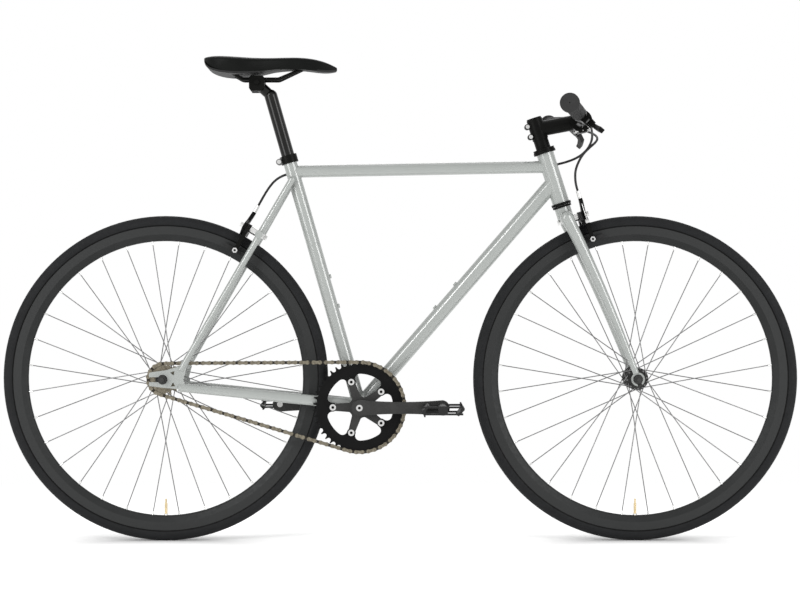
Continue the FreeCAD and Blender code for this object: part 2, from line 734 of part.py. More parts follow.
def braze_ons():
    """Brake bridge, chainstay bridge, bottle bosses and cable guides."""
    half = SEATSTAY_FOOT.y
    bridge = rod(BRIDGE - LEFT * half, BRIDGE + LEFT * half, BRIDGE_RADIUS)
    stay = rod(SEATSTAY_FOOT, SEATSTAY_TOP, SEATSTAY_RADIUS + WELD_GAP)
    bridge = bridge.cut(stay).cut(mirrored(stay))
    bore = disc(BRIDGE, STAY_OUT, BRAKE_BOLT_RADIUS + PLAY, BRIDGE_RADIUS * 3)
    middle = [piece for piece in bridge.cut(bore).Solids if abs(piece.CenterOfMass.y) < SEATSTAY_RADIUS]
    share = CHAINSTAY_BRIDGE_AHEAD / (CHAINSTAY_TOP.x - CHAINSTAY_FOOT.x)
    place = CHAINSTAY_TOP + (CHAINSTAY_FOOT - CHAINSTAY_TOP) * share
    low = rod(Vector(place.x, -place.y, place.z), place, CHAINSTAY_BRIDGE_RADIUS)
    stay = oval_stay(CHAINSTAY_TOP, CHAINSTAY_FOOT, WELD_GAP)
    pieces = middle + [largest(low.cut(stay).cut(mirrored(stay)))]
    for step in range(2):
        place = seat_point(SEAT_BOSS_LOW + BOSS_SPACING * step)
        pieces.append(bottle_boss(place, SEAT_BACK * -1, SEAT_TUBE_RADIUS))
        place = BB + DOWN_TUBE_DIR * (DOWN_BOSS_LOW + BOSS_SPACING * step)
        pieces.append(bottle_boss(place, DOWN_TUBE_DIR.cross(LEFT), DOWN_TUBE_RADIUS))
    for index in range(GUIDE_COUNT):
        pieces.append(cable_guide(guide_place(index)))
    nodes["frame_braze_ons"] = pieces


def headset():
    """Cups pressed into the head tube, races on the fork, and the ball rings between."""
    cups = []
    races = []
    bore = STEERER_RADIUS + STEERER_GAP
    race_bore = STEERER_RADIUS + WELD_GAP
    ends = ((HEAD_LOW, -1, CUP_RADIUS), (HEAD_TOP, 1, CUP_TOP_RADIUS))
    for at, way, radius in ends:
        flange = pipe(head_point(at), head_point(at + way * CUP_HEIGHT), radius, bore)
        sleeve = pipe(head_point(at - way * CUP_SLEEVE), head_point(at), HEAD_TUBE_BORE - WELD_GAP, bore)
        ledge = at + way * HEADSET_LEDGE
        mouth = at + way * CUP_HEIGHT
        seat = rod(head_point(ledge), head_point(mouth + way * CUT_OVER), HEADSET_BALL_RADIUS + WELD_GAP)
        cups.append(join([flange, sleeve]).cut(seat))
        cups.append(pipe(head_point(ledge), head_point(mouth), HEADSET_BALL_RADIUS, bore))
        races.append(pipe(head_point(mouth + way * RUNNING_GAP), head_point(at + way * HEADSET_STACK),
                          radius - HEADSET_LEDGE, race_bore))
    nodes["headset_cups"] = cups
    nodes["headset_races"] = races


def bottom_bracket():
    """Threaded cups with their bearings, left and right."""
    half = BB_SHELL_WIDTH / 2
    bore = SPINDLE_RADIUS + RUNNING_FIT
    cup = pipe(BB + LEFT * (half - CUP_LENGTH), BB + LEFT * (half + CUP_FLANGE_THICKNESS),
               BB_SHELL_BORE - WELD_GAP, bore)
    flange = pipe(BB + LEFT * half, BB + LEFT * (half + CUP_FLANGE_THICKNESS), CUP_FLANGE_RADIUS, bore)
    nodes["bottom_bracket_cups"] = both_sides([join([cup, flange])])


def seat_collar():
    """Collar round the top of the seat tube, with two ears behind, and its bolt."""
    centre = seat_point(SEAT_TUBE_LENGTH - SEAT_COLLAR_HEIGHT / 2)
    outer = SEAT_TUBE_RADIUS + SEAT_COLLAR_WALL
    ear_centre = centre + SEAT_BACK * (outer + SEAT_EAR_RADIUS / 2)
    width = SEAT_EAR_GAP + SEAT_EAR_RADIUS * 2
    ears = disc(ear_centre, LEFT, SEAT_EAR_RADIUS, width)
    web = block(centre + SEAT_BACK * (outer / 2 + SEAT_EAR_RADIUS / 2), (SEAT_BACK, LEFT, SEAT_DIR),
                (outer, width, SEAT_EAR_RADIUS * 2))
    collar = join([disc(centre, SEAT_DIR, outer, SEAT_COLLAR_HEIGHT), ears, web])
    collar = collar.cut(disc(centre, SEAT_DIR, SEAT_TUBE_RADIUS + WELD_GAP, SEAT_COLLAR_HEIGHT * 2))
    gap = block(centre + SEAT_BACK * outer, (SEAT_BACK, LEFT, SEAT_DIR),
                (outer * 2, SEAT_EAR_GAP, SEAT_COLLAR_HEIGHT * 2))
    collar = collar.cut(gap).cut(disc(ear_centre, LEFT, SEAT_BOLT_RADIUS + PLAY, width * 2))
    nodes["seat_clamp"] = [largest(collar)]
    face = ear_centre - LEFT * (width / 2 + WELD_GAP)
    head = rod(face, face - LEFT * STEM_BOLT_HEAD, SEAT_BOLT_HEAD_RADIUS)
    return join([head, rod(face, ear_centre + LEFT * (width / 2), SEAT_BOLT_RADIUS)])


# Brakes

OUTER_ARM_AT = BRAKE_SET_OUT + BRAKE_ARM_THICKNESS + BRAKE_ARM_GAP
ARM_MID = BRAKE_ARM_THICKNESS / 2

# Eyes down a brake arm and at its upper bend, in shares of its spread, reach and radius
ARM_EYES = ((0.9, -0.28, 1.1), (1.0, -0.7, 1.0), (1.0, -1.0, 1.0))
ARM_ELBOW = (0.5, 0.36, 1.2)


def brake_arm(origin, up, out, side, depth, pad_way, cable_points):
    """One arm with its shoe, pad and nut; the pad hangs on the side that pad_way gives."""
    def to_space(across, rise):
        return origin + side * across + up * rise + out * depth
    lower = [(pad_way * BRAKE_ARM_SPREAD * wide, BRAKE_REACH * drop, BRAKE_ARM_RADIUS * thick)
             for wide, drop, thick in ARM_EYES]
    eyes = cable_points + [(0.0, 0.0, BRAKE_EYE_RADIUS)] + lower
    arm = capsule_arm(eyes, to_space, out * BRAKE_ARM_THICKNESS)
    middle = origin + out * (depth + ARM_MID)
    arm = arm.cut(disc(middle, out, BRAKE_BOLT_RADIUS + RUNNING_FIT, BRAKE_ARM_THICKNESS * 2))
    inward = side * -pad_way
    rim_face = middle - up * BRAKE_REACH - inward * (RIM_WIDTH / 2)
    pad_centre = rim_face - inward * (PAD_GAP + PAD_THICKNESS / 2)
    pad = block(pad_centre, (out, up, inward), (PAD_LENGTH, PAD_HEIGHT, PAD_THICKNESS))
    shoe_centre = pad_centre - inward * (PAD_THICKNESS / 2 + SHOE_THICKNESS / 2)
    shoe = block(shoe_centre, (out, up, inward), (PAD_LENGTH, PAD_HEIGHT, SHOE_THICKNESS))
    eye = middle - up * BRAKE_REACH - inward * BRAKE_ARM_SPREAD
    nut_at = eye - inward * (BRAKE_ARM_RADIUS + WELD_GAP)
    stud = rod(shoe_centre, nut_at - inward * SHOE_THICKNESS, SHOE_STUD_RADIUS)
    arm = arm.cut(disc(eye, side, SHOE_STUD_RADIUS + PLAY, BRAKE_ARM_RADIUS * 3))
    nut = hexagon(nut_at, inward * -1, BRAKE_NUT_FLATS, SHOE_THICKNESS)
    nut = nut.cut(disc(nut_at, side, SHOE_STUD_RADIUS + WELD_GAP, SHOE_THICKNESS * 3))
    return [arm, pad, join([shoe, stud]), nut]


def caliper(name, origin, up, out, side):
    """Side-pull brake: the outer arm carries the adjuster, the inner arm the wire's anchor."""
    top_eye = (BRAKE_CABLE_SIDE, BRAKE_ADJUSTER_UP, BRAKE_ARM_RADIUS)
    wide, rise, thick = ARM_ELBOW
    elbow = (BRAKE_CABLE_SIDE * wide, BRAKE_ADJUSTER_UP * rise, BRAKE_ARM_RADIUS * thick)
    outer = brake_arm(origin, up, out, side, OUTER_ARM_AT, 1, [top_eye, elbow])
    wire_line = origin + side * BRAKE_CABLE_SIDE + out * (OUTER_ARM_AT + ARM_MID)
    eye = wire_line + up * BRAKE_ADJUSTER_UP
    wire_bore = WIRE_RADIUS + RUNNING_GAP
    outer[0] = outer[0].cut(disc(eye, up, wire_bore, BRAKE_ADJUSTER_UP))
    barrel_low = eye + up * (BRAKE_ARM_RADIUS + WELD_GAP)
    barrel_top = barrel_low + up * ADJUSTER_LENGTH
    outer.append(pipe(barrel_low, barrel_top, ADJUSTER_RADIUS, wire_bore))
    anchor_eye = (BRAKE_CABLE_SIDE, -BRAKE_ANCHOR_DOWN, BRAKE_ARM_RADIUS)
    inner = brake_arm(origin, up, out, side, BRAKE_SET_OUT, -1, [anchor_eye])
    anchor = wire_line - up * BRAKE_ANCHOR_DOWN
    shank_start = anchor - out * (OUTER_ARM_AT - BRAKE_SET_OUT + ARM_MID)
    inner[0] = inner[0].cut(disc(anchor, out, BRAKE_BOLT_RADIUS + PLAY, BRAKE_ARM_THICKNESS * 6))
    clamp = disc(anchor, out, BRAKE_ARM_RADIUS, BRAKE_ARM_THICKNESS - BRAKE_ARM_GAP)
    inner.append(join([clamp, rod(shank_start, anchor, BRAKE_BOLT_RADIUS)]))
    nodes[name + "_brake_outer_arm"] = outer
    nodes[name + "_brake_inner_arm"] = inner
    wire = rod(anchor + up * (BRAKE_ARM_RADIUS + WELD_GAP), barrel_top, WIRE_RADIUS)
    return wire, barrel_top


def brake_bolt(origin, out, seat, back_face):
    """Pivot bolt through the crown or bridge; its spacer and back nut are shaped to that seat."""
    front_nut = OUTER_ARM_AT + BRAKE_ARM_THICKNESS + RUNNING_GAP
    bolt = rod(origin - out * (back_face + BRAKE_NUT_HEIGHT), origin + out * (front_nut + BRAKE_NUT_HEIGHT),
               BRAKE_BOLT_RADIUS)
    bore = BRAKE_BOLT_RADIUS + WELD_GAP
    spacer = pipe(origin, origin + out * (BRAKE_SET_OUT - RUNNING_GAP), BRAKE_SPACER_RADIUS, bore)
    drill = disc(origin, out, bore, BRAKE_REACH * 3)
    front = hexagon(origin + out * front_nut, out, BRAKE_NUT_FLATS, BRAKE_NUT_HEIGHT).cut(drill)
    back = hexagon(origin - out * back_face, out * -1, BRAKE_NUT_FLATS, BRAKE_NUT_HEIGHT).cut(drill)
    return [bolt, largest(spacer.cut(seat)), front, largest(back.cut(seat))]


# Wheels

def wheel_place(axle, radius, degrees, side=0.0):
    angle = math.radians(degrees)
    return axle + Vector(radius * math.cos(angle), side, radius * math.sin(angle))


RIM_INNER = RIM_RADIUS - RIM_DEPTH
RIM_HALF = RIM_WIDTH / 2
HOOK_HALF = RIM_HALF - RIM_WALL
BED_RADIUS = RIM_RADIUS - RIM_WELL
NOSE_HALF = RIM_NOSE_WIDTH / 2
SPOKE_STEP = 360.0 / SPOKE_COUNT
NIPPLE_SEAT = RIM_INNER + RIM_FLOOR
FLANGE_RUN = math.sqrt(FLANGE_RADIUS ** 2 - FLANGE_HOLE_CIRCLE ** 2)
SPOKE_SLANT = (FLANGE_OFFSET + FLANGE_THICKNESS) / RIM_INNER


def spoke_angle(index):
    """Rim hole angles; the valve hole lies straight down, between two of them."""
    return -90.0 + SPOKE_STEP * (index + 0.5)


def rim(axle):
    """Deep hollow rim with flat brake tracks, drilled for nipples and valve."""
    profile = [
        (RIM_RADIUS, RIM_HALF), (RIM_RADIUS - RIM_TRACK, RIM_HALF), (RIM_INNER + RIM_NOSE_RISE, NOSE_HALF),
        (RIM_INNER, 0.0, RIM_INNER + RIM_NOSE_RISE, -NOSE_HALF), (RIM_RADIUS - RIM_TRACK, -RIM_HALF),
        (RIM_RADIUS, -RIM_HALF), (RIM_RADIUS, -HOOK_HALF), (BED_RADIUS + RIM_WALL, -HOOK_HALF),
        (BED_RADIUS, -HOOK_HALF + RIM_WALL), (BED_RADIUS, HOOK_HALF - RIM_WALL),
        (BED_RADIUS + RIM_WALL, HOOK_HALF), (RIM_RADIUS, HOOK_HALF)]
    roof = BED_RADIUS - RIM_WALL
    cavity = [
        (roof, HOOK_HALF - RIM_WALL), (RIM_RADIUS - RIM_TRACK, HOOK_HALF),
        (NIPPLE_SEAT, NOSE_HALF - RIM_WALL), (NIPPLE_SEAT, RIM_WALL - NOSE_HALF),
        (RIM_RADIUS - RIM_TRACK, -HOOK_HALF), (roof, RIM_WALL - HOOK_HALF)]
    solid = turned(profile, axle).cut(turned(cavity, axle))
    drills = []
    for index in range(SPOKE_COUNT):
        angle = spoke_angle(index)
        drills.append(rod(wheel_place(axle, RIM_INNER - CUT_OVER, angle),
                          wheel_place(axle, NIPPLE_SEAT + CUT_OVER, angle), NIPPLE_RADIUS + NIPPLE_PLAY))
    drills.append(rod(wheel_place(axle, RIM_INNER - CUT_OVER, -90.0),
                      wheel_place(axle, RIM_RADIUS, -90.0), VALVE_RADIUS + PLAY))
    return solid.cut(Part.makeCompound(drills))


def crown_arc(half, top, base):
    """Radius of the arc that rises from two points a half-width off the middle to a top."""
    rise = top - base
    return (rise ** 2 + half ** 2) / (2 * rise)


def tyre(axle):
    """Casing with two beads seated in the rim."""
    lip = RIM_RADIUS + PLAY * 5
    outer_half = RIM_HALF + PLAY * 3
    inner_half = HOOK_HALF - BEAD_THICKNESS
    bead_half = HOOK_HALF - WELD_GAP
    bead = RIM_RADIUS - BEAD_DEPTH
    inner_top = TYRE_RADIUS - TYRE_WALL
    profile = [
        (lip, outer_half), (TYRE_RADIUS, 0.0, lip, -outer_half), (lip, -bead_half), (bead, -bead_half),
        (bead, -inner_half), (lip, -inner_half), (inner_top, 0.0, lip, inner_half), (bead, inner_half),
        (bead, bead_half), (lip, bead_half)]
    return turned(profile, axle)


def inner_tube(axle):
    """Air tube that fills the tyre's casing, with its valve, and the valve's nut."""
    inner_top = TYRE_RADIUS - TYRE_WALL
    arc = crown_arc(HOOK_HALF - BEAD_THICKNESS, inner_top, RIM_RADIUS + PLAY * 5)
    middle = inner_top - arc
    tube_radius = arc - RUNNING_GAP
    tube = Part.makeTorus(middle, tube_radius, axle, LEFT)
    tube = tube.cut(Part.makeTorus(middle, tube_radius - TUBE_WALL, axle, LEFT))
    floor = middle - tube_radius
    hole = rod(wheel_place(axle, floor - CUT_OVER, -90.0), wheel_place(axle, middle, -90.0),
               VALVE_RADIUS + WELD_GAP)
    return [tube.cut(hole)] + valve(axle, floor)


def valve(axle, floor):
    """Stem from the inner tube through the rim, with its nut and locking tip."""
    stem_end = RIM_INNER - VALVE_LENGTH + VALVE_TIP_LENGTH
    stem = rod(wheel_place(axle, floor + TUBE_WALL, -90.0), wheel_place(axle, stem_end, -90.0), VALVE_RADIUS)
    tip = rod(wheel_place(axle, stem_end, -90.0), wheel_place(axle, stem_end - VALVE_TIP_LENGTH, -90.0),
              VALVE_TIP_RADIUS)
    nut_face = wheel_place(axle, RIM_INNER - PLAY, -90.0)
    nut = pipe(nut_face, nut_face + UP * VALVE_NUT_HEIGHT, VALVE_NUT_RADIUS, VALVE_RADIUS + WELD_GAP)
    return [join([stem, tip]), nut]


def spoke_set(axle):
    """Spokes laced three-cross, bent at the flange, with their nipples."""
    spokes = []
    nipples = []
    lead = SPOKE_CROSSES * 2 * SPOKE_STEP
    for index in range(SPOKE_COUNT):
        side = -1 if index % 2 == 0 else 1
        leading = index % 4 < 2
        rim_angle = spoke_angle(index)
        hub_angle = rim_angle - lead if leading else rim_angle + lead
        face = FLANGE_THICKNESS / 2
        reach = face + SPOKE_RADIUS + PLAY + (FLANGE_RUN * SPOKE_SLANT if leading else 0.0)
        outward = side if leading else -side
        flange = side * FLANGE_OFFSET
        hole = wheel_place(axle, FLANGE_HOLE_CIRCLE, hub_angle, flange)
        elbow = hole + LEFT * (outward * reach)
        seat = wheel_place(axle, NIPPLE_SEAT, rim_angle)
        line = (seat - elbow).normalize()
        shank = rod(elbow, seat - line, SPOKE_RADIUS)
        knee = Part.makeSphere(SPOKE_RADIUS, elbow)
        head_face = hole - LEFT * (outward * (face + WELD_GAP))
        through = rod(elbow, head_face, SPOKE_RADIUS)
        head = rod(head_face, head_face - LEFT * (outward * SPOKE_HEAD_THICKNESS), SPOKE_HEAD_RADIUS)
        spokes.append(join([shank, knee, through, head]))
        body = rod(seat - line * NIPPLE_LENGTH, seat + line * RIM_WALL, NIPPLE_RADIUS)
        cap = rod(seat + line * NIPPLE_PLAY, seat + line * NIPPLE_HEAD_THICKNESS, NIPPLE_HEAD_RADIUS)
        bore = rod(seat - line * (NIPPLE_LENGTH + CUT_OVER), seat, SPOKE_RADIUS + WELD_GAP)
        nipples.append(join([body, cap]).cut(bore))
    return spokes, nipples


def hub(axle, spacing, axle_radius, right_seat):
    """Hub shell with two drilled flanges and a cartridge bearing in each end."""
    end = spacing / 2 - HUB_END_GAP
    inner_half = end - BEARING_WIDTH
    face_in = FLANGE_OFFSET - FLANGE_THICKNESS / 2
    face_out = FLANGE_OFFSET + FLANGE_THICKNESS / 2
    bore = axle_radius + CUT_OVER
    bearing_seat = BEARING_RADIUS + WELD_GAP
    left_end = [(FLANGE_RADIUS, face_in), (FLANGE_RADIUS, face_out), (HUB_BARREL_RADIUS, face_out),
                (HUB_BARREL_RADIUS, end)]
    right_end = [(radius, -side) for radius, side in reversed(right_seat or left_end)]
    profile = [(HUB_WAIST_RADIUS, face_in)] + left_end + [
        (bearing_seat, end), (bearing_seat, inner_half), (bore, inner_half), (bore, -inner_half),
        (bearing_seat, -inner_half), (bearing_seat, -end)] + right_end + [(HUB_WAIST_RADIUS, -face_in)]
    shell = turned(profile, axle)
    holes = []
    for index in range(SPOKE_COUNT // 2):
        for side in (-1, 1):
            angle = spoke_angle(2 * index + (side + 1) // 2) - SPOKE_CROSSES * 2 * SPOKE_STEP
            centre = wheel_place(axle, FLANGE_HOLE_CIRCLE, angle, side * FLANGE_OFFSET)
            holes.append(disc(centre, LEFT, SPOKE_RADIUS + PLAY, FLANGE_THICKNESS * 2))
    bearing = pipe(axle + LEFT * inner_half, axle + LEFT * end, BEARING_RADIUS, axle_radius + RUNNING_FIT)
    return [shell.cut(Part.makeCompound(holes))] + both_sides([bearing])


def axle_set(axle, spacing, axle_radius, plate):
    """Fixed axle with plain ends, and its cones, washers and nuts."""
    seat = spacing / 2
    cone = pipe(axle + LEFT * (seat - HUB_END_GAP + RUNNING_GAP), axle + LEFT * (seat - WELD_GAP),
                CONE_RADIUS, axle_radius + WELD_GAP)
    washer_at = seat + plate + WELD_GAP
    nut_at = washer_at + AXLE_WASHER_THICKNESS
    washer = pipe(axle + LEFT * washer_at, axle + LEFT * nut_at, AXLE_WASHER_RADIUS, axle_radius + WELD_GAP)
    nut = hexagon(axle + LEFT * (nut_at + WELD_GAP), LEFT, AXLE_NUT_FLATS, AXLE_NUT_HEIGHT)
    nut = nut.cut(disc(axle, LEFT, axle_radius + WELD_GAP, spacing * 2))
    thread_half = nut_at + AXLE_NUT_HEIGHT + PLAY
    bar = join([disc(axle, LEFT, axle_radius, thread_half * 2),
                disc(axle, LEFT, axle_radius - AXLE_END_STEP, (thread_half + AXLE_END) * 2)])
    return [bar] + both_sides([cone, washer, nut])


def wheel(name, axle, spacing, axle_radius, plate, right_seat=None):
    nodes[name + "_rim"] = [rim(axle)]
    nodes[name + "_tyre"] = [tyre(axle)]
    nodes[name + "_inner_tube"] = inner_tube(axle)
    nodes[name + "_spokes"], nodes[name + "_nipples"] = spoke_set(axle)
    nodes[name + "_hub"] = hub(axle, spacing, axle_radius, right_seat)
    nodes[name + "_axle_set"] = axle_set(axle, spacing, axle_radius, plate)


# Drivetrain

CHAIN_FWD = (BB - REAR_AXLE).normalize()
CHAIN_TOP = CHAIN_FWD.cross(LEFT)
CHAIN_SLANT = chain_slant(CHAINSTAY)
TANGENT_ANGLE = math.pi / 2 + CHAIN_SLANT
RING_STEP = 2 * math.pi / CHAINRING_TEETH
COG_STEP = 2 * math.pi / SPROCKET_TEETH
RING_HALF_WRAP = TANGENT_ANGLE / RING_STEP
COG_WRAP = (2 * math.pi - 2 * TANGENT_ANGLE) / COG_STEP
STRAIGHT_LINKS = CHAINSTAY * math.cos(CHAIN_SLANT) / CHAIN_PITCH
COG_PHASE = TANGENT_ANGLE - (RING_HALF_WRAP + STRAIGHT_LINKS) * COG_STEP


def on_gear(centre, radius, angle, side=0.0):
    """Point on a gear, by an angle from the line that joins the two gears' axes."""
    return (centre + CHAIN_FWD * (radius * math.cos(angle)) + CHAIN_TOP * (radius * math.sin(angle))
            + LEFT * side)


def chain_pin(count):
    """Place of a chain pin, counted in links from the foremost point of the chainring."""
    count = count % CHAIN_LINKS
    upper = count - RING_HALF_WRAP
    cog = upper - STRAIGHT_LINKS
    lower = cog - COG_WRAP
    if upper <= 0:
        place = on_gear(BB, RING_RADIUS, count * RING_STEP)
    elif cog <= 0:
        start = on_gear(BB, RING_RADIUS, TANGENT_ANGLE)
        end = on_gear(REAR_AXLE, COG_RADIUS, TANGENT_ANGLE)
        place = start + (end - start) * (upper / STRAIGHT_LINKS)
    elif lower <= 0:
        place = on_gear(REAR_AXLE, COG_RADIUS, TANGENT_ANGLE + cog * COG_STEP)
    elif lower <= STRAIGHT_LINKS:
        start = on_gear(REAR_AXLE, COG_RADIUS, -TANGENT_ANGLE)
        end = on_gear(BB, RING_RADIUS, -TANGENT_ANGLE)
        place = start + (end - start) * (lower / STRAIGHT_LINKS)
    else:
        place = on_gear(BB, RING_RADIUS, (count - CHAIN_LINKS) * RING_STEP)
    return place - LEFT * CHAIN_LINE


def link_plate(middle, thickness):
    """Waisted side plate across two pins, lying lengthwise."""
    half = CHAIN_PITCH / 2
    joint = math.radians(60)
    joint_x = half - PLATE_HALF_HEIGHT * math.cos(joint)
    joint_z = PLATE_HALF_HEIGHT * math.sin(joint)
    points = [
        (-joint_x, joint_z), (0.0, PLATE_WAIST, joint_x, joint_z),
        (half + PLATE_HALF_HEIGHT, 0.0, joint_x, -joint_z), (0.0, -PLATE_WAIST, -joint_x, -joint_z),
        (-half - PLATE_HALF_HEIGHT, 0.0, -joint_x, joint_z)]
    start = middle - thickness / 2
    return slab(points, lambda ahead, up: Vector(ahead, start, up), LEFT * thickness)


def chain_links():
    """Inner links with rollers and outer links with pins, alternating round both gears."""
    half = CHAIN_PITCH / 2
    inner_mid = INNER_WIDTH / 2 + PLATE_THICKNESS / 2
    outer_mid = inner_mid + PLATE_THICKNESS + PLAY
    pin_half = outer_mid + PLATE_THICKNESS / 2 + PIN_HEAD
    inner = [link_plate(side * inner_mid, PLATE_THICKNESS) for side in (-1, 1)]
    outer = [link_plate(side * outer_mid, PLATE_THICKNESS) for side in (-1, 1)]
    for end in (-half, half):
        inner.append(disc(Vector(end, 0, 0), LEFT, ROLLER_RADIUS, INNER_WIDTH))
        outer.append(disc(Vector(end, 0, 0), LEFT, PIN_RADIUS, pin_half * 2))
    holes = [disc(Vector(end, 0, 0), LEFT, PIN_RADIUS + PLAY, pin_half * 3) for end in (-half, half)]
    prototypes = (join(inner).cut(Part.makeCompound(holes)), join(outer))
    links = []
    for count in range(CHAIN_LINKS):
        start = chain_pin(count)
        end = chain_pin(count + 1)
        placement = FreeCAD.Placement((start + end) * 0.5, FreeCAD.Rotation(Vector(1, 0, 0), end - start))
        link = prototypes[count % 2].copy()
        link.Placement = placement
        links.append(link)
    nodes["chain"] = links


def gear_face(centre, teeth, phase, side):
    """Toothed outline of a chainring or sprocket."""
    radius = pitch_radius(teeth)
    step = 2 * math.pi / teeth
    seat = ROLLER_RADIUS + ROLLER_SEAT_CLEARANCE
    spread = math.radians(SEAT_HALF_ANGLE)
    tip = radius + TOOTH_TIP_HEIGHT
    tip_half = TOOTH_TIP_WIDTH / 2 / tip
    points = []
    for index in range(teeth):
        gap = phase + index * step

        def seat_point_at(angle):
            return (radius * math.cos(gap) - seat * math.cos(gap + angle),
                    radius * math.sin(gap) - seat * math.sin(gap + angle))
        first = seat_point_at(spread)
        middle = seat_point_at(0.0)
        last = seat_point_at(-spread)
        points.append(first)
        points.append(middle + last)
        for angle in (gap + step / 2 - tip_half, gap + step / 2 + tip_half):
            points.append((tip * math.cos(angle), tip * math.sin(angle)))
    base = centre + LEFT * side
    return Part.Face(outline(points, lambda ahead, up: base + CHAIN_FWD * ahead + CHAIN_TOP * up))


def bolt_angle(index):
    """Chainring bolt angles in the side view; one arm of the spider lies along the crank's back."""
    return 180.0 + index * 360.0 / BOLT_COUNT


def round_webs(solid, centre, radius, fillet):
    """Rounds the corners that stand across a solid at one radius from its axis."""
    corners = []
    for edge in solid.Edges:
        ends = [vertex.Point - centre for vertex in edge.Vertexes]
        across = len(ends) == 2 and abs(ends[0].x - ends[1].x) < TINY and abs(ends[0].z - ends[1].z) < TINY
        if across and abs(math.hypot(ends[0].x, ends[0].z) - radius) < TINY:
            corners.append(edge)
    return solid.makeFillet(fillet, corners)


def chainring():
    """Toothed ring with a thicker band inside and a tab for each bolt."""
    side = -CHAIN_LINE - TOOTH_THICKNESS / 2
    teeth = gear_face(BB, CHAINRING_TEETH, 0.0, side).extrude(LEFT * TOOTH_THICKNESS)
    centre = BB - LEFT * CHAIN_LINE
    pieces = [teeth, disc(centre, LEFT, CHAINRING_STEP_RADIUS, CHAINRING_BODY_THICKNESS)]
    plain = join(pieces).cut(disc(centre, LEFT, CHAINRING_INNER_RADIUS, CHAINRING_BODY_THICKNESS * 2))
    tabs = []
    for index in range(BOLT_COUNT):
        inner = wheel_place(centre, BOLT_CIRCLE / 2, bolt_angle(index))
        outer = wheel_place(centre, CHAINRING_INNER_RADIUS + CHAINRING_TAB_RADIUS / 2, bolt_angle(index))
        radial = (outer - inner).normalize()
        tabs.append(disc(inner, LEFT, CHAINRING_TAB_RADIUS, CHAINRING_BODY_THICKNESS))
        tabs.append(block((inner + outer) * 0.5, (radial, LEFT, radial.cross(LEFT)),
                          ((outer - inner).Length, CHAINRING_BODY_THICKNESS, CHAINRING_TAB_RADIUS * 2)))
    whole = round_webs(join([plain] + tabs), centre, CHAINRING_INNER_RADIUS, CHAINRING_WEB_RADIUS)
    nodes["chainring"] = [whole.cut(chainring_bolt_holes())]


def chainring_bolt_holes():
    holes = []
    for index in range(BOLT_COUNT):
        place = wheel_place(BB - LEFT * CHAIN_LINE, BOLT_CIRCLE / 2, bolt_angle(index))
        holes.append(disc(place, LEFT, CHAINRING_BOLT_RADIUS + WELD_GAP, CRANK_INNER_FACE))
    return Part.makeCompound(holes)


SPIDER_FACE = CHAIN_LINE + CHAINRING_BODY_THICKNESS / 2 + WELD_GAP


def crank_arm(way):
    """Arm from the spindle to the pedal; way is +1 forward for the right arm, -1 back for the left."""
    side = -way
    inner = BB + LEFT * (side * CRANK_INNER_FACE)
    depth = LEFT * (side * CRANK_THICKNESS)
    boss = CRANK_BOSS_RADIUS
    eye = CRANK_EYE_RADIUS
    middle = CRANK_LENGTH / 2
    points = [
        (0.0, boss), (middle, CRANK_WAIST / 2, CRANK_LENGTH, eye),
        (CRANK_LENGTH + eye, 0.0, CRANK_LENGTH, -eye),
        (middle, -CRANK_WAIST / 2, 0.0, -boss), (-boss, 0.0, 0.0, boss)]
    arm = slab(points, lambda ahead, up: inner + Vector(way * ahead, 0, up), depth)
    root = BB + LEFT * (side * (BB_SHELL_WIDTH / 2 + CUP_FLANGE_THICKNESS + CUT_OVER))
    arm = join([arm, rod(root, inner + depth * 0.5, CRANK_ROOT_RADIUS)])
    square = SPINDLE_TAPER_RADIUS + WELD_GAP
    arm = arm.cut(disc(BB, LEFT, square, (CRANK_INNER_FACE + CRANK_THICKNESS) * 3))
    pedal_hole = disc(inner + Vector(way * CRANK_LENGTH, 0, 0), LEFT, PEDAL_AXLE_RADIUS + WELD_GAP,
                      CRANK_THICKNESS * 3)
    return arm.cut(pedal_hole)


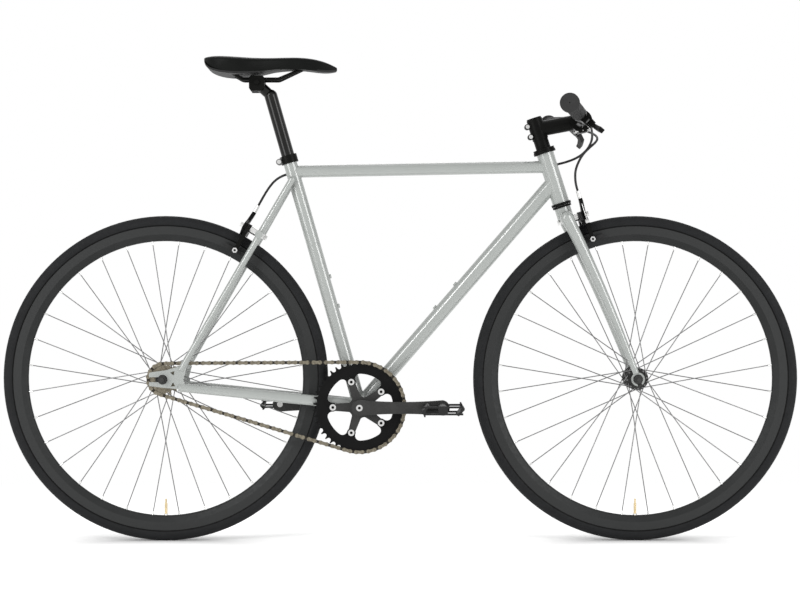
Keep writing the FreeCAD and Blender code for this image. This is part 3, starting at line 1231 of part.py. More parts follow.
def cranks():
    """Spindle, both arms with the spider on the right one, and their bolts."""
    spindle_half = BB_SHELL_WIDTH / 2 + CUP_FLANGE_THICKNESS + CUT_OVER / 2
    taper_half = CRANK_INNER_FACE + CRANK_THICKNESS - CRANK_BOLT_HEAD
    spindle = join([disc(BB, LEFT, SPINDLE_RADIUS, spindle_half * 2),
                    disc(BB, LEFT, SPINDLE_TAPER_RADIUS, taper_half * 2)])
    nodes["crank_axles"] = [spindle, pedal_axle(1), pedal_axle(-1)]
    start = BB - LEFT * SPIDER_FACE
    depth = LEFT * -SPIDER_THICKNESS
    pieces = [rod(start, start + depth, SPIDER_HUB_RADIUS)]
    for index in range(BOLT_COUNT):
        angle = math.radians(bolt_angle(index))
        tip = (BOLT_CIRCLE / 2 * math.cos(angle), BOLT_CIRCLE / 2 * math.sin(angle))
        arm = [(0.0, 0.0, SPIDER_ROOT_RADIUS), tip + (SPIDER_WIDTH / 2, )]
        pieces.append(capsule_arm(arm, lambda ahead, up: start + Vector(ahead, 0, up), depth))
    spider = round_webs(join(pieces), start, SPIDER_HUB_RADIUS, SPIDER_WEB_RADIUS)
    bore = disc(BB, LEFT, SPINDLE_TAPER_RADIUS + WELD_GAP, CRANK_INNER_FACE * 3)
    nodes["right_crank"] = [join([crank_arm(1), spider]).cut(bore).cut(chainring_bolt_holes())]
    nodes["left_crank"] = [crank_arm(-1)]
    bolts = []
    for side in (-1, 1):
        face = BB + LEFT * (side * taper_half)
        bolts.append(rod(face + LEFT * (side * WELD_GAP), face + LEFT * (side * CRANK_BOLT_HEAD),
                         CRANK_BOLT_RADIUS))
    back = CHAIN_LINE - CHAINRING_BODY_THICKNESS / 2 - WELD_GAP
    front = SPIDER_FACE + SPIDER_THICKNESS + WELD_GAP
    for index in range(BOLT_COUNT):
        place = wheel_place(BB, BOLT_CIRCLE / 2, bolt_angle(index))
        head = CHAINRING_BOLT_RADIUS + CHAINRING_BOLT_HEAD
        bolts.append(join([
            rod(place - LEFT * back, place - LEFT * front, CHAINRING_BOLT_RADIUS),
            rod(place - LEFT * back, place - LEFT * (back - CHAINRING_BOLT_HEAD), head),
            rod(place - LEFT * front, place - LEFT * (front + CHAINRING_BOLT_HEAD), head)]))
    nodes["crank_bolts"] = bolts


PEDAL_START = CRANK_INNER_FACE + CRANK_THICKNESS + PEDAL_AXLE_FLANGE / 2 + RUNNING_GAP


def pedal(way):
    """Cage pedal on a barrel: two rails each side of the axle, two end plates and toothed edges."""
    side = -way
    axle = BB + Vector(way * CRANK_LENGTH, 0, 0)

    def place(ahead, out, up):
        return axle + Vector(ahead, side * (PEDAL_START + out), up)
    frame_axes = (Vector(1, 0, 0), LEFT, UP)
    pieces = [rod(place(0, 0, 0), place(0, PEDAL_WIDTH, 0), PEDAL_BARREL_RADIUS)]
    half = PEDAL_LENGTH / 2
    for out in (PEDAL_RIB_THICKNESS / 2, PEDAL_WIDTH - PEDAL_RIB_THICKNESS / 2):
        for turn in (1, -1):
            pieces.append(block(place(0, out, turn * PEDAL_RAIL_OFFSET), frame_axes,
                                (PEDAL_LENGTH - PEDAL_END_THICKNESS, PEDAL_RIB_THICKNESS, PEDAL_BAR_HEIGHT)))
    tooth_back, tooth_up = PEDAL_END_OUTLINE[0]
    for turn in (1, -1):
        points = [(turn * (half + ahead), turn * up) for ahead, up in PEDAL_END_OUTLINE]
        pieces.append(slab(points, lambda ahead, up: place(ahead, 0, up), LEFT * (side * PEDAL_WIDTH)))
        for index in range(PEDAL_TOOTH_COUNT):
            out = PEDAL_WIDTH * (index + 0.5) / PEDAL_TOOTH_COUNT
            pieces.append(block(place(turn * (half + tooth_back), out, turn * tooth_up), frame_axes,
                                (PEDAL_END_THICKNESS / 2, PEDAL_RIB_THICKNESS, PEDAL_TOOTH * 2)))
    body = join(pieces)
    return body.cut(rod(place(0, -CUT_OVER, 0), place(0, PEDAL_WIDTH - PEDAL_RIB_THICKNESS, 0),
                        PEDAL_AXLE_RADIUS + RUNNING_FIT))


def pedal_axle(way):
    side = -way
    axle = BB + Vector(way * CRANK_LENGTH, 0, 0)
    flange_at = CRANK_INNER_FACE + CRANK_THICKNESS + WELD_GAP
    inner = axle + LEFT * (side * CRANK_INNER_FACE)
    tip = axle + LEFT * (side * (PEDAL_START + PEDAL_WIDTH - PEDAL_RIB_THICKNESS - CUT_OVER))
    flange = rod(axle + LEFT * (side * flange_at),
                 axle + LEFT * (side * (PEDAL_START - RUNNING_GAP)), PEDAL_AXLE_FLANGE)
    return join([rod(inner, tip, PEDAL_AXLE_RADIUS), flange])


def rear_hub_seat():
    """Right end of the rear hub: shoulder, sprocket seat and thread, as radius and sideways place."""
    face_in = FLANGE_OFFSET - FLANGE_THICKNESS / 2
    face_out = FLANGE_OFFSET + FLANGE_THICKNESS / 2
    shoulder = CHAIN_LINE - TOOTH_THICKNESS / 2
    end = REAR_SPACING / 2 - HUB_END_GAP
    return [(FLANGE_RADIUS, face_in), (FLANGE_RADIUS, face_out), (HUB_SHOULDER_RADIUS, face_out),
            (HUB_SHOULDER_RADIUS, shoulder), (SPROCKET_SEAT_RADIUS, shoulder), (SPROCKET_SEAT_RADIUS, end)]


def sprocket():
    """Fixed sprocket on the hub's thread, held by a lockring."""
    side = -CHAIN_LINE - TOOTH_THICKNESS / 2
    cog = gear_face(REAR_AXLE, SPROCKET_TEETH, COG_PHASE, side).extrude(LEFT * TOOTH_THICKNESS)
    bore = disc(REAR_AXLE, LEFT, SPROCKET_SEAT_RADIUS + WELD_GAP, REAR_SPACING * 2)
    lock_start = REAR_AXLE + LEFT * (side - WELD_GAP)
    lock = rod(lock_start, lock_start - LEFT * LOCKRING_THICKNESS, LOCKRING_RADIUS)
    nodes["rear_sprocket"] = [cog.cut(bore), lock.cut(bore)]


# Fork

CROWN_AT = BRAKE_UP + CROWN_ABOVE_BOLT
CROWN_FRONT = math.sqrt(CROWN_RADIUS ** 2 - CROWN_ABOVE_BOLT ** 2)
FORK_END_MID = FRONT_SPACING / 2 + FORK_END_THICKNESS / 2
STEERER_LOW = RACE_AT - STEERER_SEAT


def crown_solid(grow):
    """Crosspiece with round shoulders and the neck under the steerer."""
    middle = head_point(CROWN_AT)
    pieces = [disc(middle, LEFT, CROWN_RADIUS + grow, CROWN_HALF_WIDTH * 2),
              rod(middle, head_point(RACE_AT - WELD_GAP), CROWN_NECK_RADIUS + grow)]
    for side in (-1, 1):
        pieces.append(Part.makeSphere(CROWN_RADIUS + grow, middle + LEFT * (side * CROWN_HALF_WIDTH)))
    return join(pieces)


def leg_place(share):
    """Centre of the left leg, from the fork end at 0 to the crown at 1."""
    up = LEG_FOOT + (CROWN_AT - LEG_FOOT) * share
    forward = FORK_RAKE * (1 - share) + LEG_BOW * 4 * share * (1 - share)
    left = FORK_END_MID + (CROWN_HALF_WIDTH - FORK_END_MID) * share
    return head_point(up, forward, left)


def leg_solid(grow, low):
    wires = []
    for index in range(LEG_STATIONS):
        share = low + (1 - low) * index / (LEG_STATIONS - 1)
        along = leg_place(share + TANGENT_STEP) - leg_place(share - TANGENT_STEP)
        radius = LEG_TIP_RADIUS + (LEG_TOP_RADIUS - LEG_TIP_RADIUS) * share + grow
        wires.append(circle_wire(leg_place(share), along, radius))
    return Part.makeLoft(wires, True, False)


def fork_end():
    """Left fork end: a round plate with a slot that opens downward."""
    inner = FRONT_AXLE + LEFT * (FRONT_SPACING / 2)
    plate = rod(inner, inner + LEFT * FORK_END_THICKNESS, FORK_END_RADIUS)
    slot = FRONT_AXLE_RADIUS + PLAY
    middle = FRONT_AXLE + LEFT * FORK_END_MID
    gap = block(middle - HEAD_DIR * FORK_END_RADIUS, (HEAD_FWD, LEFT, HEAD_DIR),
                (slot * 2, FORK_END_THICKNESS * 2, FORK_END_RADIUS * 2))
    return plate.cut(gap).cut(disc(middle, LEFT, slot, FORK_END_THICKNESS * 2))


def fork():
    """Steerer, crown, and two tapered legs with their ends."""
    nodes["steerer_tube"] = [pipe(head_point(STEERER_LOW), head_point(STEM_TOP - TOP_CAP_THICKNESS),
                                  STEERER_RADIUS, STEERER_RADIUS - STEERER_WALL)]
    crown = crown_solid(0.0)
    leg = leg_solid(0.0, 0.0).cut(leg_solid(-LEG_WALL, LEG_PLUG_SHARE)).cut(crown_solid(WELD_GAP))
    end = fork_end()
    nodes["fork_legs"] = both_sides([largest(largest(leg).cut(end)), end])
    crown = crown.cut(rod(head_point(STEERER_LOW - WELD_GAP), head_point(RACE_AT + CUT_OVER),
                          STEERER_RADIUS + WELD_GAP))
    bolt_hole = disc(head_point(BRAKE_UP), HEAD_FWD, BRAKE_BOLT_RADIUS + PLAY, CROWN_RADIUS * 6)
    nodes["fork_crown"] = [crown.cut(bolt_hole)]
    spacers = []
    for index in range(SPACER_COUNT):
        low = SPACERS_AT + index * SPACER_HEIGHT
        spacers.append(pipe(head_point(low + WELD_GAP), head_point(low + SPACER_HEIGHT),
                            SPACER_RADIUS, STEERER_RADIUS + WELD_GAP))
    cap = rod(head_point(STEM_TOP + WELD_GAP), head_point(STEM_TOP + TOP_CAP_THICKNESS), SPACER_RADIUS)
    nodes["headset_spacers"] = spacers + [cap]


# Stem and handlebar

STEM_DIR = slope(90 - HEAD_ANGLE - STEM_DROP_ANGLE)
STEM_ROOT = head_point(STEM_LOW + STEM_HEIGHT / 2)
BAR_CENTRE = STEM_ROOT + STEM_DIR * STEM_LENGTH
STEM_UP = LEFT.cross(STEM_DIR) * -1


def stem():
    """Stem clamped on the steerer behind and round the bar in front, with a faceplate and bolts."""
    clamp = rod(head_point(STEM_LOW + WELD_GAP), head_point(STEM_TOP), STEM_CLAMP_RADIUS)
    extension = rod(STEM_ROOT, BAR_CENTRE, STEM_RADIUS)
    front = disc(BAR_CENTRE, LEFT, BAR_CLAMP_RADIUS, BAR_CLAMP_WIDTH)
    ear_at = STEM_CLAMP_RADIUS + STEM_EAR_RADIUS / 3
    ears = []
    bolts = []
    bolt_holes = []
    ear_width = STEM_EAR_RADIUS * 3
    for share in STEM_BOLT_SHARES:
        centre = head_point(STEM_LOW + STEM_HEIGHT * share, -ear_at)
        ears.append(disc(centre, LEFT, STEM_EAR_RADIUS, ear_width))
        bolt_holes.append(disc(centre, LEFT, STEM_BOLT_RADIUS + PLAY, ear_width * 2))
        face = centre - LEFT * (ear_width / 2 + WELD_GAP)
        bolts.append(join([rod(face, face - LEFT * STEM_BOLT_HEAD, STEM_BOLT_HEAD_RADIUS),
                           rod(face, centre + LEFT * (ear_width / 2), STEM_BOLT_RADIUS)]))
    axes = (STEM_DIR, LEFT, STEM_UP)
    bolt_up = (BAR_SEAT_RADIUS + BAR_CLAMP_RADIUS) / 2
    for up in (-bolt_up, bolt_up):
        ears.append(block(BAR_CENTRE + STEM_UP * up, axes,
                          (FACEPLATE_EAR * 2, BAR_CLAMP_WIDTH, FACEPLATE_EAR_HEIGHT)))
    body = join([clamp, extension, front] + ears)
    body = body.cut(rod(head_point(STEM_LOW - CUT_OVER), head_point(STEM_TOP + CUT_OVER),
                        STEERER_RADIUS + WELD_GAP))
    body = body.cut(disc(BAR_CENTRE, LEFT, BAR_SEAT_RADIUS + WELD_GAP, BAR_CLAMP_WIDTH * 2))
    slit = block(head_point(STEM_LOW + STEM_HEIGHT / 2, -ear_at), (HEAD_FWD, LEFT, HEAD_DIR),
                 (STEM_CLAMP_RADIUS, STEM_SLIT, STEM_HEIGHT * 2))
    body = body.cut(slit)
    reach = BAR_CLAMP_RADIUS * 2
    front_half = block(BAR_CENTRE + STEM_DIR * (reach / 2), axes, (reach, BAR_CLAMP_WIDTH * 2, reach * 2))
    gap = block(BAR_CENTRE, axes, (FACEPLATE_GAP, BAR_CLAMP_WIDTH * 2, reach * 2))
    faceplate = body.common(front_half).cut(gap)
    body = body.cut(front_half).cut(gap)
    bolt_left = BAR_CLAMP_WIDTH / 2 - STEM_BOLT_HEAD_RADIUS - PLAY
    for up in (-bolt_up, bolt_up):
        for left in (-bolt_left, bolt_left):
            centre = BAR_CENTRE + STEM_UP * up + LEFT * left
            bolt_holes.append(rod(centre - STEM_DIR * BAR_SEAT_RADIUS, centre + STEM_DIR * reach,
                                  STEM_BOLT_RADIUS + PLAY))
            seat = centre + STEM_DIR * FACEPLATE_EAR
            bolt_holes.append(rod(seat, seat + STEM_DIR * reach, STEM_BOLT_HEAD_RADIUS + PLAY))
            face = seat + STEM_DIR * WELD_GAP
            bolts.append(join([rod(centre - STEM_DIR * (BAR_SEAT_RADIUS - PLAY), face, STEM_BOLT_RADIUS),
                               rod(face, seat + STEM_DIR * STEM_BOLT_HEAD, STEM_BOLT_HEAD_RADIUS)]))
    drills = Part.makeCompound(bolt_holes)
    nodes["stem"] = [largest(body.cut(drills)), largest(faceplate.cut(drills))]
    return bolts


def bar_end(side):
    return BAR_CENTRE + Vector(-BAR_SETBACK, side * BAR_HALF_WIDTH, BAR_RISE)


def bar_bend(side):
    return BAR_CENTRE + LEFT * (side * BAR_BEND_AT)


def bar_line(side):
    return (bar_end(side) - bar_bend(side)).normalize()


def handlebar():
    """Flat bar, thicker in the clamp, swept back and up to its ends."""
    points = [bar_end(-1), bar_bend(-1), bar_bend(1), bar_end(1)]
    bend = BAR_BEND_AT
    outside = bent_rod(points, BAR_RADIUS, radius=bend)
    bulge = [disc(BAR_CENTRE, LEFT, BAR_SEAT_RADIUS, BAR_BULGE_HALF * 2)]
    for side in (-1, 1):
        bulge.append(Part.makeCone(BAR_SEAT_RADIUS, BAR_RADIUS, BAR_TAPER,
                                   BAR_CENTRE + LEFT * (side * BAR_BULGE_HALF), LEFT * side))
    whole = join([outside] + bulge)
    ends = [bar_end(side) + bar_line(side) * CUT_OVER for side in (-1, 1)]
    inside = bent_rod([ends[0], bar_bend(-1), bar_bend(1), ends[1]], BAR_RADIUS - BAR_WALL, radius=bend)
    nodes["handlebar"] = [whole.cut(inside)]


def grip(side):
    """Rubber sleeve on a bar end, with an end flange, a cap and shallow rings."""
    line = bar_line(side)
    tip = bar_end(side) + line * WELD_GAP
    start = tip - line * GRIP_LENGTH
    pieces = [rod(start, tip + line * GRIP_CAP, GRIP_RADIUS),
              rod(tip + line * (GRIP_CAP - GRIP_FLANGE), tip + line * GRIP_CAP, GRIP_FLANGE_RADIUS)]
    sleeve = join(pieces).cut(rod(start - line * CUT_OVER, tip, BAR_RADIUS + WELD_GAP))
    sleeve = sleeve.cut(rod(tip - line, tip + line * GRIP_CAP * 2, GRIP_VENT_RADIUS))
    pitch = (GRIP_LENGTH - GRIP_FLANGE * 2) / GRIP_GROOVES
    grooves = []
    for index in range(GRIP_GROOVES):
        centre = start + line * (pitch * (index + 0.5) + GRIP_FLANGE / 2)
        grooves.append(ring(centre, line, GRIP_FLANGE_RADIUS, GRIP_RADIUS - GRIP_GROOVE_DEPTH,
                            GRIP_GROOVE_WIDTH))
    return sleeve.cut(Part.makeCompound(grooves))


# Brake levers

class LeverFrame:
    """Axes at a lever's clamp: out along the bar, away from it, and across both."""

    def __init__(self, side):
        self.side = side
        self.out = bar_line(side)
        aim = slope(-LEVER_ANGLE)
        self.away = (aim - self.out * aim.dot(self.out)).normalize()
        self.across = self.out.cross(self.away)
        self.clamp = bar_end(side) - self.out * (GRIP_LENGTH + LEVER_FROM_GRIP)

    def point(self, out, away, across=0.0):
        return self.clamp + self.out * out + self.away * away + self.across * across

    def axes(self):
        return (self.out, self.away, self.across)


LEVER_SLOT = LEVER_THICKNESS + RUNNING_GAP * 2


def lever_bracket(frame):
    """Clamp on the bar with a forked nose for the lever, its pin, and the housing's barrel."""
    clamp = disc(frame.clamp, frame.out, LEVER_CLAMP_RADIUS, LEVER_CLAMP_WIDTH)
    nose_inward = LEVER_BODY_WIDTH / 4
    nose_middle = frame.point(-nose_inward, LEVER_PIVOT_OUT / 2)
    nose = block(nose_middle, frame.axes(), (LEVER_BODY_WIDTH, LEVER_PIVOT_OUT, LEVER_BODY_THICKNESS))
    knuckle = disc(frame.point(0, LEVER_PIVOT_OUT), frame.across, LEVER_EYE_RADIUS, LEVER_BODY_THICKNESS)
    body = join([clamp, nose, knuckle])
    body = body.cut(disc(frame.clamp, frame.out, BAR_RADIUS + WELD_GAP, LEVER_BODY_WIDTH * 3))
    slot_low = LEVER_PIVOT_OUT - LEVER_EYE_RADIUS - RUNNING_GAP * 2
    slot_middle = frame.point(0, slot_low + LEVER_PIVOT_OUT)
    slot = block(slot_middle, frame.axes(), (LEVER_BODY_WIDTH * 3, LEVER_PIVOT_OUT * 2, LEVER_SLOT))
    pivot = frame.point(0, LEVER_PIVOT_OUT)
    pin_hole = disc(pivot, frame.across, LEVER_PIN_RADIUS + WELD_GAP, LEVER_BODY_THICKNESS * 2)
    body = body.cut(slot).cut(pin_hole)
    pin = disc(pivot, frame.across, LEVER_PIN_RADIUS, LEVER_BODY_THICKNESS + CUT_OVER)
    barrel_start = frame.point(-nose_inward - LEVER_BODY_WIDTH / 2 - WELD_GAP, slot_low - LEVER_BARREL_RADIUS)
    barrel = rod(barrel_start, barrel_start - frame.out * LEVER_BARREL_LENGTH, LEVER_BARREL_RADIUS)
    return [largest(body), pin, barrel], barrel_start - frame.out * LEVER_BARREL_LENGTH


def brake_lever(frame):
    """Two-finger lever on the bracket's pin, flared away from the grip."""
    points = [(LEVER_REACH * out, LEVER_PIVOT_OUT + LEVER_FLARE * away, radius)
              for out, away, radius in LEVER_BLADE]
    depth = frame.across * LEVER_THICKNESS
    blade = capsule_arm(points, lambda out, away: frame.point(out, away) - depth * 0.5, depth)
    pivot = frame.point(0, LEVER_PIVOT_OUT)
    return blade.cut(disc(pivot, frame.across, LEVER_PIN_RADIUS + RUNNING_FIT, LEVER_THICKNESS * 2))


# Seatpost and saddle

CLAMP_CENTRE = seat_point(POST_TOP) + Vector(-CLAMP_BACK, 0, CLAMP_UP)
CLAMP_SIDE = POST_EYE_WIDTH / 2 + RUNNING_GAP
RAIL_SIDE = CLAMP_SIDE + CLAMP_END_WIDTH / 2


def seatpost():
    """Hollow post with a set-back eye for the saddle clamp."""
    low = seat_point(SEAT_TUBE_LENGTH - POST_INSERT)
    top = seat_point(POST_TOP)
    tube = rod(low, top, POST_RADIUS)
    dome = Part.makeSphere(POST_RADIUS, top)
    neck = rod(top, CLAMP_CENTRE, POST_HEAD_RADIUS)
    eye = disc(CLAMP_CENTRE, LEFT, POST_EYE_RADIUS, POST_EYE_WIDTH)
    whole = join([tube, dome, neck, eye])
    whole = whole.cut(rod(low - SEAT_DIR * CUT_OVER, top - SEAT_DIR * POST_WALL, POST_RADIUS - POST_WALL))
    pivot_bore = disc(CLAMP_CENTRE, LEFT, CLAMP_PIVOT_RADIUS + RUNNING_FIT, POST_EYE_WIDTH * 2)
    nodes["seatpost"] = [whole.cut(pivot_bore)]


def rail(grow):
    """Left rail: up into the nose in front, straight through the clamp, up into the tail behind."""
    places = (RAIL_FRONT, (RAIL_DIP_FRONT, RAIL_SIDE, RAIL_ABOVE_CLAMP),
              (RAIL_DIP_BACK, RAIL_SIDE, RAIL_ABOVE_CLAMP), RAIL_BACK)
    return bent_rod([CLAMP_CENTRE + Vector(*place) for place in places], RAIL_RADIUS + grow, radius=RAIL_BEND)


def saddle_clamp():
    """Pivot barrel in the post's eye with a rail cradle at each end, and the bolt through it."""
    groove = rail(WELD_GAP)
    outer = CLAMP_SIDE + CLAMP_END_WIDTH
    bore = disc(CLAMP_CENTRE, LEFT, CLAMP_BOLT_RADIUS + PLAY, outer * 3)
    barrel = rod(CLAMP_CENTRE - LEFT * CLAMP_SIDE, CLAMP_CENTRE + LEFT * (CLAMP_SIDE - WELD_GAP),
                 CLAMP_PIVOT_RADIUS)
    left = slab(list(CLAMP_CRADLE), lambda ahead, up: CLAMP_CENTRE + LEFT * CLAMP_SIDE + Vector(ahead, 0, up),
                LEFT * CLAMP_END_WIDTH)
    left = left.cut(groove)
    right = join([barrel, mirrored(left)]).cut(bore)
    half = outer + WELD_GAP
    shank = disc(CLAMP_CENTRE, LEFT, CLAMP_BOLT_RADIUS, (half + BRAKE_NUT_HEIGHT) * 2)
    nut = hexagon(CLAMP_CENTRE + LEFT * half, LEFT, BRAKE_NUT_FLATS, BRAKE_NUT_HEIGHT - PLAY)
    nut = nut.cut(disc(CLAMP_CENTRE, LEFT, CLAMP_BOLT_RADIUS + WELD_GAP, outer * 4))
    nodes["saddle_clamp"] = [right, left.cut(bore), shank] + both_sides([nut])


def saddle():
    """Shell with a padded, crowned cover that narrows from tail to nose, on two rails."""
    shell_wires = []
    pad_wires = []
    for ahead, half, top, under in SADDLE_SECTIONS:
        def to_space(left, up):
            return CLAMP_CENTRE + Vector(ahead, left, up)
        tucked = half * SADDLE_TUCK
        shoulder = top - min(half * SADDLE_CROWN, (top - under) * SADDLE_CROWN)
        seam = under + SADDLE_SHELL
        seam_half = tucked + (half - tucked) * SADDLE_SHELL / (shoulder - under)
        shell_wires.append(outline([(-tucked, under), (tucked, under), (seam_half, seam), (-seam_half, seam)],
                                   to_space))
        base = seam + WELD_GAP
        pad_wires.append(outline([(-seam_half, base), (seam_half, base), (half, shoulder),
                                  (0.0, top, -half, shoulder)], to_space))
    sockets = both_sides([rail(RAIL_SOCKET)])
    shell = Part.makeLoft(shell_wires, True, False)
    pad = Part.makeLoft(pad_wires, True, False)
    for socket in sockets:
        shell = shell.cut(socket)
        pad = pad.cut(socket)
    nodes["saddle_shell"] = [largest(shell)]
    nodes["saddle_pad"] = [largest(pad.cut(shell))]
    nodes["saddle_rails"] = both_sides([rail(0.0)])


# Brake housings

def guide_line(share):
    """Point on the housing's line along the left of the top tube."""
    out = TOP_TUBE_DIR.cross(UP) * -1
    place = TOP_TUBE_START + (TOP_TUBE_END - TOP_TUBE_START) * share
    return place + out * (TOP_TUBE_RADIUS + HOUSING_RADIUS + GUIDE_WALL)


def housing(start, middle, end):
    """Round housing between two end fittings, with a printed check of its bends."""
    points = [start] + [Vector(*place) for place in middle] + [end]
    radii = [bend_radius(a, b, c, CABLE_ARC_SHARE) for a, b, c in zip(points, points[1:], points[2:])]
    length = bent_path(points, CABLE_ARC_SHARE).Length
    solid = bent_rod(points, HOUSING_RADIUS)
    filled = solid.Volume / (math.pi * HOUSING_RADIUS ** 2 * length)
    print("housing length %.1f, least bend %.1f, volume share %.4f" % (length, min(radii), filled))
    return solid


def brake_cables(lever_ends, caliper_ends):
    """Housings from the levers to the calipers, and the bare wire at each caliper."""
    (right_start, right_way), (left_start, left_way) = lever_ends
    (front_wire, front_end), (rear_wire, rear_end) = caliper_ends
    join_at = guide_line((GUIDE_COUNT - 0.5) / GUIDE_COUNT)
    front = housing(left_start + left_way * WELD_GAP, FRONT_HOUSING, front_end + HEAD_DIR * WELD_GAP)
    loop = housing(right_start + right_way * WELD_GAP, LOOP_HOUSING, join_at)
    rear = housing(join_at - TOP_TUBE_DIR * WELD_GAP, REAR_HOUSING, rear_end + STAY_DIR * WELD_GAP)
    nodes["front_brake_cable"] = [front, front_wire]
    nodes["rear_brake_cable_loop"] = [loop]
    nodes["rear_brake_cable"] = [rear, rear_wire]


def build():
    main_tubes()
    rear_triangle()
    braze_ons()
    headset()
    bottom_bracket()
    seat_bolt = seat_collar()
    front_cable_end = caliper("front", head_point(BRAKE_UP), HEAD_DIR, HEAD_FWD, LEFT * -1)
    rear_cable_end = caliper("rear", BRIDGE, STAY_DIR, STAY_OUT, LEFT)
    bridge_seat = disc(BRIDGE, LEFT, BRIDGE_RADIUS + WELD_GAP, SEATSTAY_FOOT.y)
    nodes["frame_bolts"] = [seat_bolt] + brake_bolt(BRIDGE, STAY_OUT, bridge_seat, BRIDGE_RADIUS)
    wheel("front", FRONT_AXLE, FRONT_SPACING, FRONT_AXLE_RADIUS, FORK_END_THICKNESS)
    wheel("rear", REAR_AXLE, REAR_SPACING, REAR_AXLE_RADIUS, DROPOUT_THICKNESS, rear_hub_seat())
    sprocket()
    chain_links()
    chainring()
    cranks()
    nodes["right_pedal"] = [pedal(1)]
    nodes["left_pedal"] = [pedal(-1)]
    fork()
    stem_bolts = stem()
    crown_bolt = brake_bolt(head_point(BRAKE_UP), HEAD_FWD, crown_solid(WELD_GAP), CROWN_FRONT)
    nodes["fork_bolts"] = stem_bolts + crown_bolt
    handlebar()
    nodes["grips"] = [grip(-1), grip(1)]
    brackets = []
    lever_ends = []
    for name, side in (("right", -1), ("left", 1)):
        frame = LeverFrame(side)
        pieces, cable_start = lever_bracket(frame)
        brackets += pieces
        lever_ends.append((cable_start, frame.out * -1))
        nodes[name + "_brake_lever"] = [brake_lever(frame)]
    nodes["lever_brackets"] = brackets
    seatpost()
    saddle_clamp()
    saddle()
    brake_cables(lever_ends, (front_cable_end, rear_cable_end))


def export():
    os.makedirs("parts", exist_ok=True)
    for name, solids in nodes.items():
        shape = solids[0] if len(solids) == 1 else Part.makeCompound(solids)
        shape.exportStep("parts/" + name + ".step")


build()
export()
print(len(nodes), "nodes")
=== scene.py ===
import bpy
import math
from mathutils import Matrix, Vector


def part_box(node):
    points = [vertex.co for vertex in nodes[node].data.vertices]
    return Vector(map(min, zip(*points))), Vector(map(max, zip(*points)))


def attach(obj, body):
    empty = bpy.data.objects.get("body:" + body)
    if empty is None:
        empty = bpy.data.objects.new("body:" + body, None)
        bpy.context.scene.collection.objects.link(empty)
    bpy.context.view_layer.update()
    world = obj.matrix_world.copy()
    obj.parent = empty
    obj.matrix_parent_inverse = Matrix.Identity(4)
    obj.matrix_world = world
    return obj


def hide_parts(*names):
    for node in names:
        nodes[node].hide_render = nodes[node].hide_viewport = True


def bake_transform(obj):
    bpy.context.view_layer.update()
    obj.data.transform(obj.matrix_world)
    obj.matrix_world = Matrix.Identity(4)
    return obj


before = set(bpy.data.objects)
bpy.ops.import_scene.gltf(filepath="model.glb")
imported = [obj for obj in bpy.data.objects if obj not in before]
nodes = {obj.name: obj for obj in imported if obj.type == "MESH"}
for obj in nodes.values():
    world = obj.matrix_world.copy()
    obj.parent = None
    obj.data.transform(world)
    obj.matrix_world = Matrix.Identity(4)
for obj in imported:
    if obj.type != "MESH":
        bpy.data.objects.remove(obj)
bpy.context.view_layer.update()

# A single-speed bicycle in a white studio. Metres; X forward, Y to the rider's left, Z up.

# Camera
CAMERA_AT = (-0.015, -4.4, 0.54)
CAMERA_AIM = (-0.0013, 0.0, 0.501)
CAMERA_LENS = 95.0

# World: its strength as the camera and reflections see it, and as a light
BACKGROUND = 1.0
AMBIENT = 0.16
WHITE = (1.0, 1.0, 1.0, 1.0)

# Floor
FLOOR_SIZE = 30.0
FLOOR_TONE = (0.88, 0.88, 0.88)
# The floor's glow near the bicycle, which is painted light
FLOOR_GLOW = 0.8
# Painted shade on the floor near the wheels, where its glow dims by ambient occlusion: its reach,
# its depth and the samples it takes
FLOOR_SHADE = 0.3
FLOOR_SHADE_POWER = 3.0
FLOOR_SHADE_SAMPLES = 8
# Distances to the side between which the floor turns plain white
FLOOR_NEAR = 0.3
FLOOR_FAR = 1.2

# Lamps: name, place, width, height, power
LAMPS = (
    ("top", (0.0, 0.1, 2.6), 3.4, 0.7, 7.0),
    ("left", (-2.3, -2.2, 1.2), 1.3, 2.2, 44.0),
    ("upper left", (-1.7, -2.2, 2.3), 0.7, 0.7, 16.0),
    ("right", (2.4, -2.1, 1.2), 1.3, 2.2, 50.0),
    ("back", (0.0, 2.6, 2.8), 2.4, 1.0, 14.0),
)
LAMP_AIM = (0.0, 0.0, 0.5)

# Brake housings: the routes' points from one end fitting to the other, in millimetres
FRONT_HOUSING = (
    (379.8, 113.6, 863.7), (382.5, 101.0, 862.8), (388.0, 83.5, 860.5), (394.5, 65.0, 857.0),
    (407.0, 32.5, 848.5), (412.0, 10.5, 839.0), (406.5, -5.0, 829.5), (392.0, -17.0, 817.5),
    (374.5, -26.5, 800.0), (361.5, -33.0, 772.5), (360.5, -35.3, 752.0), (362.8, -36.0, 736.4),
    (365.9, -36.0, 726.8))
LOOP_HOUSING = (
    (379.8, -113.6, 863.7), (382.5, -101.0, 862.8), (388.0, -77.0, 859.0), (393.5, -52.0, 852.5),
    (398.5, -11.0, 834.5), (391.5, 14.5, 816.0), (373.0, 26.5, 799.5), (343.0, 29.5, 788.0),
    (306.0, 26.0, 781.0), (264.0, 20.0, 777.5), (242.5, 17.5, 777.0), (231.0, 16.6, 776.9),
    (220.7, 16.6, 776.7))
REAR_HOUSING = (
    (220.7, 16.6, 776.7), (-203.0, 16.6, 768.7), (-217.0, 17.5, 767.6), (-235.0, 19.7, 764.6),
    (-249.0, 22.7, 760.0), (-261.0, 26.4, 752.8), (-270.5, 30.0, 743.5), (-279.5, 33.0, 731.5),
    (-288.5, 35.2, 716.7), (-293.6, 36.0, 707.6), (-298.6, 36.0, 698.9))
MM_PER_METRE = 1000
HOUSING_RADIUS = 0.0025
HOUSING_FINENESS = 4
SPLINE_ORDER = 3

# Bare wires: the wire's place among its node's solids, its radius, and its sides
WIRE_SOLID = 1
WIRE_RADIUS = 0.0008
ROD_SIDES = 16
ROD_EDGE = math.radians(40)
